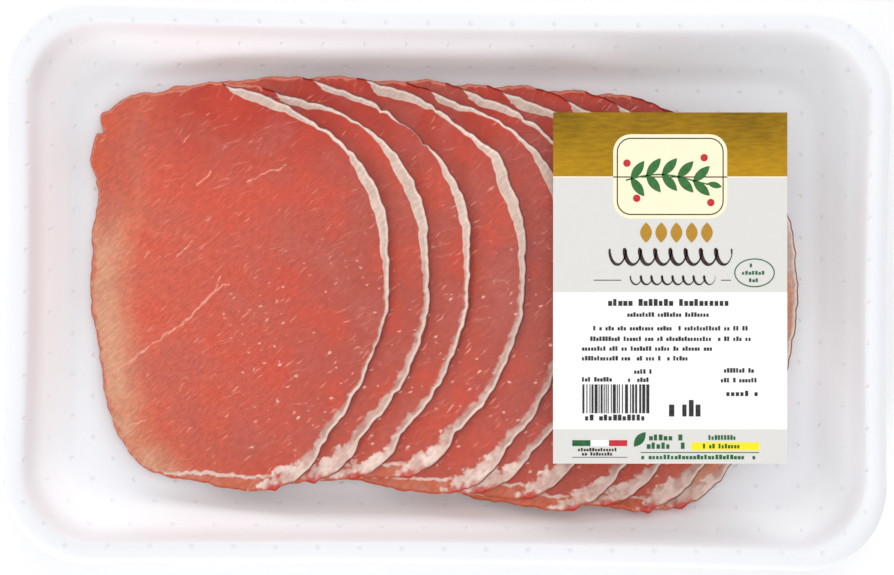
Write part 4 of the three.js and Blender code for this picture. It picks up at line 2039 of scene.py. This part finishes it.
@dataclass(frozen=True)
class Label:
    """The flat paper label on the film, and the ink on it."""

    middle: tuple[float, float] = (57.2, 0.1)
    turn: float = 0.6
    bottom: float = 30.86
    thickness: float = 0.14
    side_steps: int = 12
    plan: LabelPrint = LabelPrint()

    def laid(self, points: np.ndarray) -> np.ndarray:
        """Lays points of the label, given from its lower left corner, on the pack."""
        flat = points[:, :2] - np.array([self.plan.width, self.plan.length]) / 2
        return np.column_stack([turned(flat, math.radians(self.turn)) + self.middle, points[:, 2]])

    def paper(self) -> bpy.types.Object:
        """Builds the sheet of paper.

        Returns:
            The sheet.
        """
        width, length = self.plan.width, self.plan.length
        corners = np.array([(0, 0), (width, 0), (width, length), (0, length)], float)
        shares = np.linspace(0, 1, self.side_steps, endpoint=False)[:, None]
        outline = np.concatenate([
            corner * (1 - shares) + following * shares
            for corner, following in zip(corners, np.roll(corners, -1, axis=0))
        ])
        around = len(outline)
        heights = np.repeat([0.0, self.thickness], around)
        flat = np.column_stack([np.concatenate([outline, outline]), heights])
        points = self.laid(flat) + (0, 0, self.bottom)
        piece = make_piece("paper_label", points, closed_skin(2, around), smooth=False)
        store(piece, "print_place", flat)
        return piece

    def ink(self) -> bpy.types.Object:
        """Builds the printed shapes.

        Returns:
            One mesh of all of them.
        """
        sheet = self.plan.sheet()
        points = self.laid(np.array(sheet.points)) + (0, 0, self.bottom + self.thickness)
        piece = make_piece("label_print", points, sheet.faces, smooth=False)
        inks = piece.data.color_attributes.new(name="ink", type="FLOAT_COLOR", domain="CORNER")
        colours = [ink for face, ink in zip(sheet.faces, sheet.inks) for _ in face]
        inks.data.foreach_set("color", np.array(colours, np.float32).ravel())
        return piece

    def build(self, effects: Effects) -> list[bpy.types.Object]:
        """Builds the label over its solid.

        Args:
            effects: The shared node groups.

        Returns:
            The paper and the ink.
        """
        finish = PaperFinish()
        paper, ink = self.paper(), self.ink()
        paper.data.materials.append(finish.paper(effects, self.plan))
        ink.data.materials.append(finish.inks(effects))
        for piece in (paper, ink):
            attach(piece, BODY)
        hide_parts("label")
        return [paper, ink]


# ---- Studio ----


@dataclass(frozen=True)
class Lamp:
    """A soft square lamp that looks at the tray, in metres and watts."""

    name: str
    place: tuple[float, float, float]
    size: float
    power: float

    def hang(self) -> None:
        """Hangs it in the scene."""
        light = bpy.data.lights.new(self.name, "AREA")
        light.size = self.size
        light.energy = self.power
        lamp = bpy.data.objects.new(self.name, light)
        bpy.context.scene.collection.objects.link(lamp)
        lamp.location = self.place
        lamp.rotation_euler = (-Vector(self.place)).to_track_quat("-Z", "Y").to_euler()


@dataclass(frozen=True)
class Studio:
    """A pale floor, soft light from above and the camera over the tray."""

    pixels_wide: int = 894
    pixels_per_mm: float = 3.9
    rim_height: float = 30.0
    eye_height: float = 1500.0
    eye_offset: tuple[float, float] = (0.01, -0.38)
    turn: float = 0.616
    sensor: float = 36.0
    # In metres, as the camera takes it
    sight: float = 20.0
    floor_radius: float = 3000.0
    floor_steps: int = 96
    floor_level: float = -0.05
    floor_tone: Colour = tone(252, 252, 253)
    floor_shade: Colour = tone(248, 248, 249)
    floor_patches: Cloud = (60.0, 2.0)
    floor_patch_share: float = 0.3
    horizon: Colour = (1.04, 1.04, 1.04, 1.0)
    zenith: Colour = (0.58, 0.58, 0.59, 1.0)
    lamps: tuple[Lamp, ...] = (
        Lamp("overhead", (0.05, 0.35, 1.7), 1.3, 6.0),
        Lamp("back", (0.3, 1.8, 0.7), 0.9, 9.5),
        Lamp("front", (-0.9, -1.5, 0.65), 0.9, 13.0),
    )

    def camera(self) -> None:
        """Hangs the camera straight over the tray."""
        camera = bpy.data.cameras.new("camera")
        camera.sensor_fit = "HORIZONTAL"
        camera.sensor_width = self.sensor
        camera.lens = self.pixels_per_mm * self.eye_height / self.pixels_wide * self.sensor
        camera.clip_end = self.sight
        eye = bpy.data.objects.new("camera", camera)
        bpy.context.scene.collection.objects.link(eye)
        eye.location = Vector((*self.eye_offset, self.rim_height + self.eye_height)) * MM
        eye.rotation_euler = (0, 0, math.radians(self.turn))
        bpy.context.scene.camera = eye

    def light(self) -> None:
        """Lights the scene from a pale sky and three soft lamps."""
        world = bpy.data.worlds.new("studio")
        world.use_nodes = True
        bench = Bench(world.node_tree)
        background = world.node_tree.nodes["Background"]
        _, _, up = bench.split(bench.add("ShaderNodeTexCoord").outputs["Generated"])
        bench.feed(background.inputs["Color"], bench.colour(up, self.horizon, self.zenith))
        bpy.context.scene.world = world
        for lamp in self.lamps:
            lamp.hang()
        bpy.context.scene.view_settings.view_transform = "Standard"

    def floor(self) -> bpy.types.Object:
        """Lays the pale floor.

        Returns:
            The floor.
        """
        steps = self.floor_steps
        angles = np.linspace(0, 2 * math.pi, steps, endpoint=False)
        level = np.full(steps, self.floor_level)
        rings = [np.column_stack([radius * np.cos(angles), radius * np.sin(angles), level])
                 for radius in (self.floor_radius, self.floor_radius / 3)]
        faces = skin(2, steps) + [tuple(range(steps, 2 * steps))]
        floor = make_piece("floor", np.concatenate(rings), faces)
        material, bench = new_material("floor_paper")
        patches = bench.noise(bench.object_place(), *self.floor_patches)
        share = bench.product(patches, self.floor_patch_share)
        tint = bench.colour(share, self.floor_tone, self.floor_shade)
        shader = bench.add("ShaderNodeBsdfDiffuse", {"Color": tint})
        finish_material(bench, shader.outputs[0])
        floor.data.materials.append(material)
        return floor


# ---- Assembly ----


def main() -> None:
    """Builds the pack and its studio."""
    effects = build_effects()
    studio = Studio()
    studio.camera()
    tray = Tray()
    pieces = [tray.build(effects)]
    pieces += SlicePile().build(effects)
    pieces.append(Film().build(tray))
    pieces += Label().build(effects)
    for piece in pieces:
        LOG.info("%s: %d faces", piece.name, len(piece.data.polygons))
    studio.floor()
    studio.light()


if __name__ == "__main__":
    main()
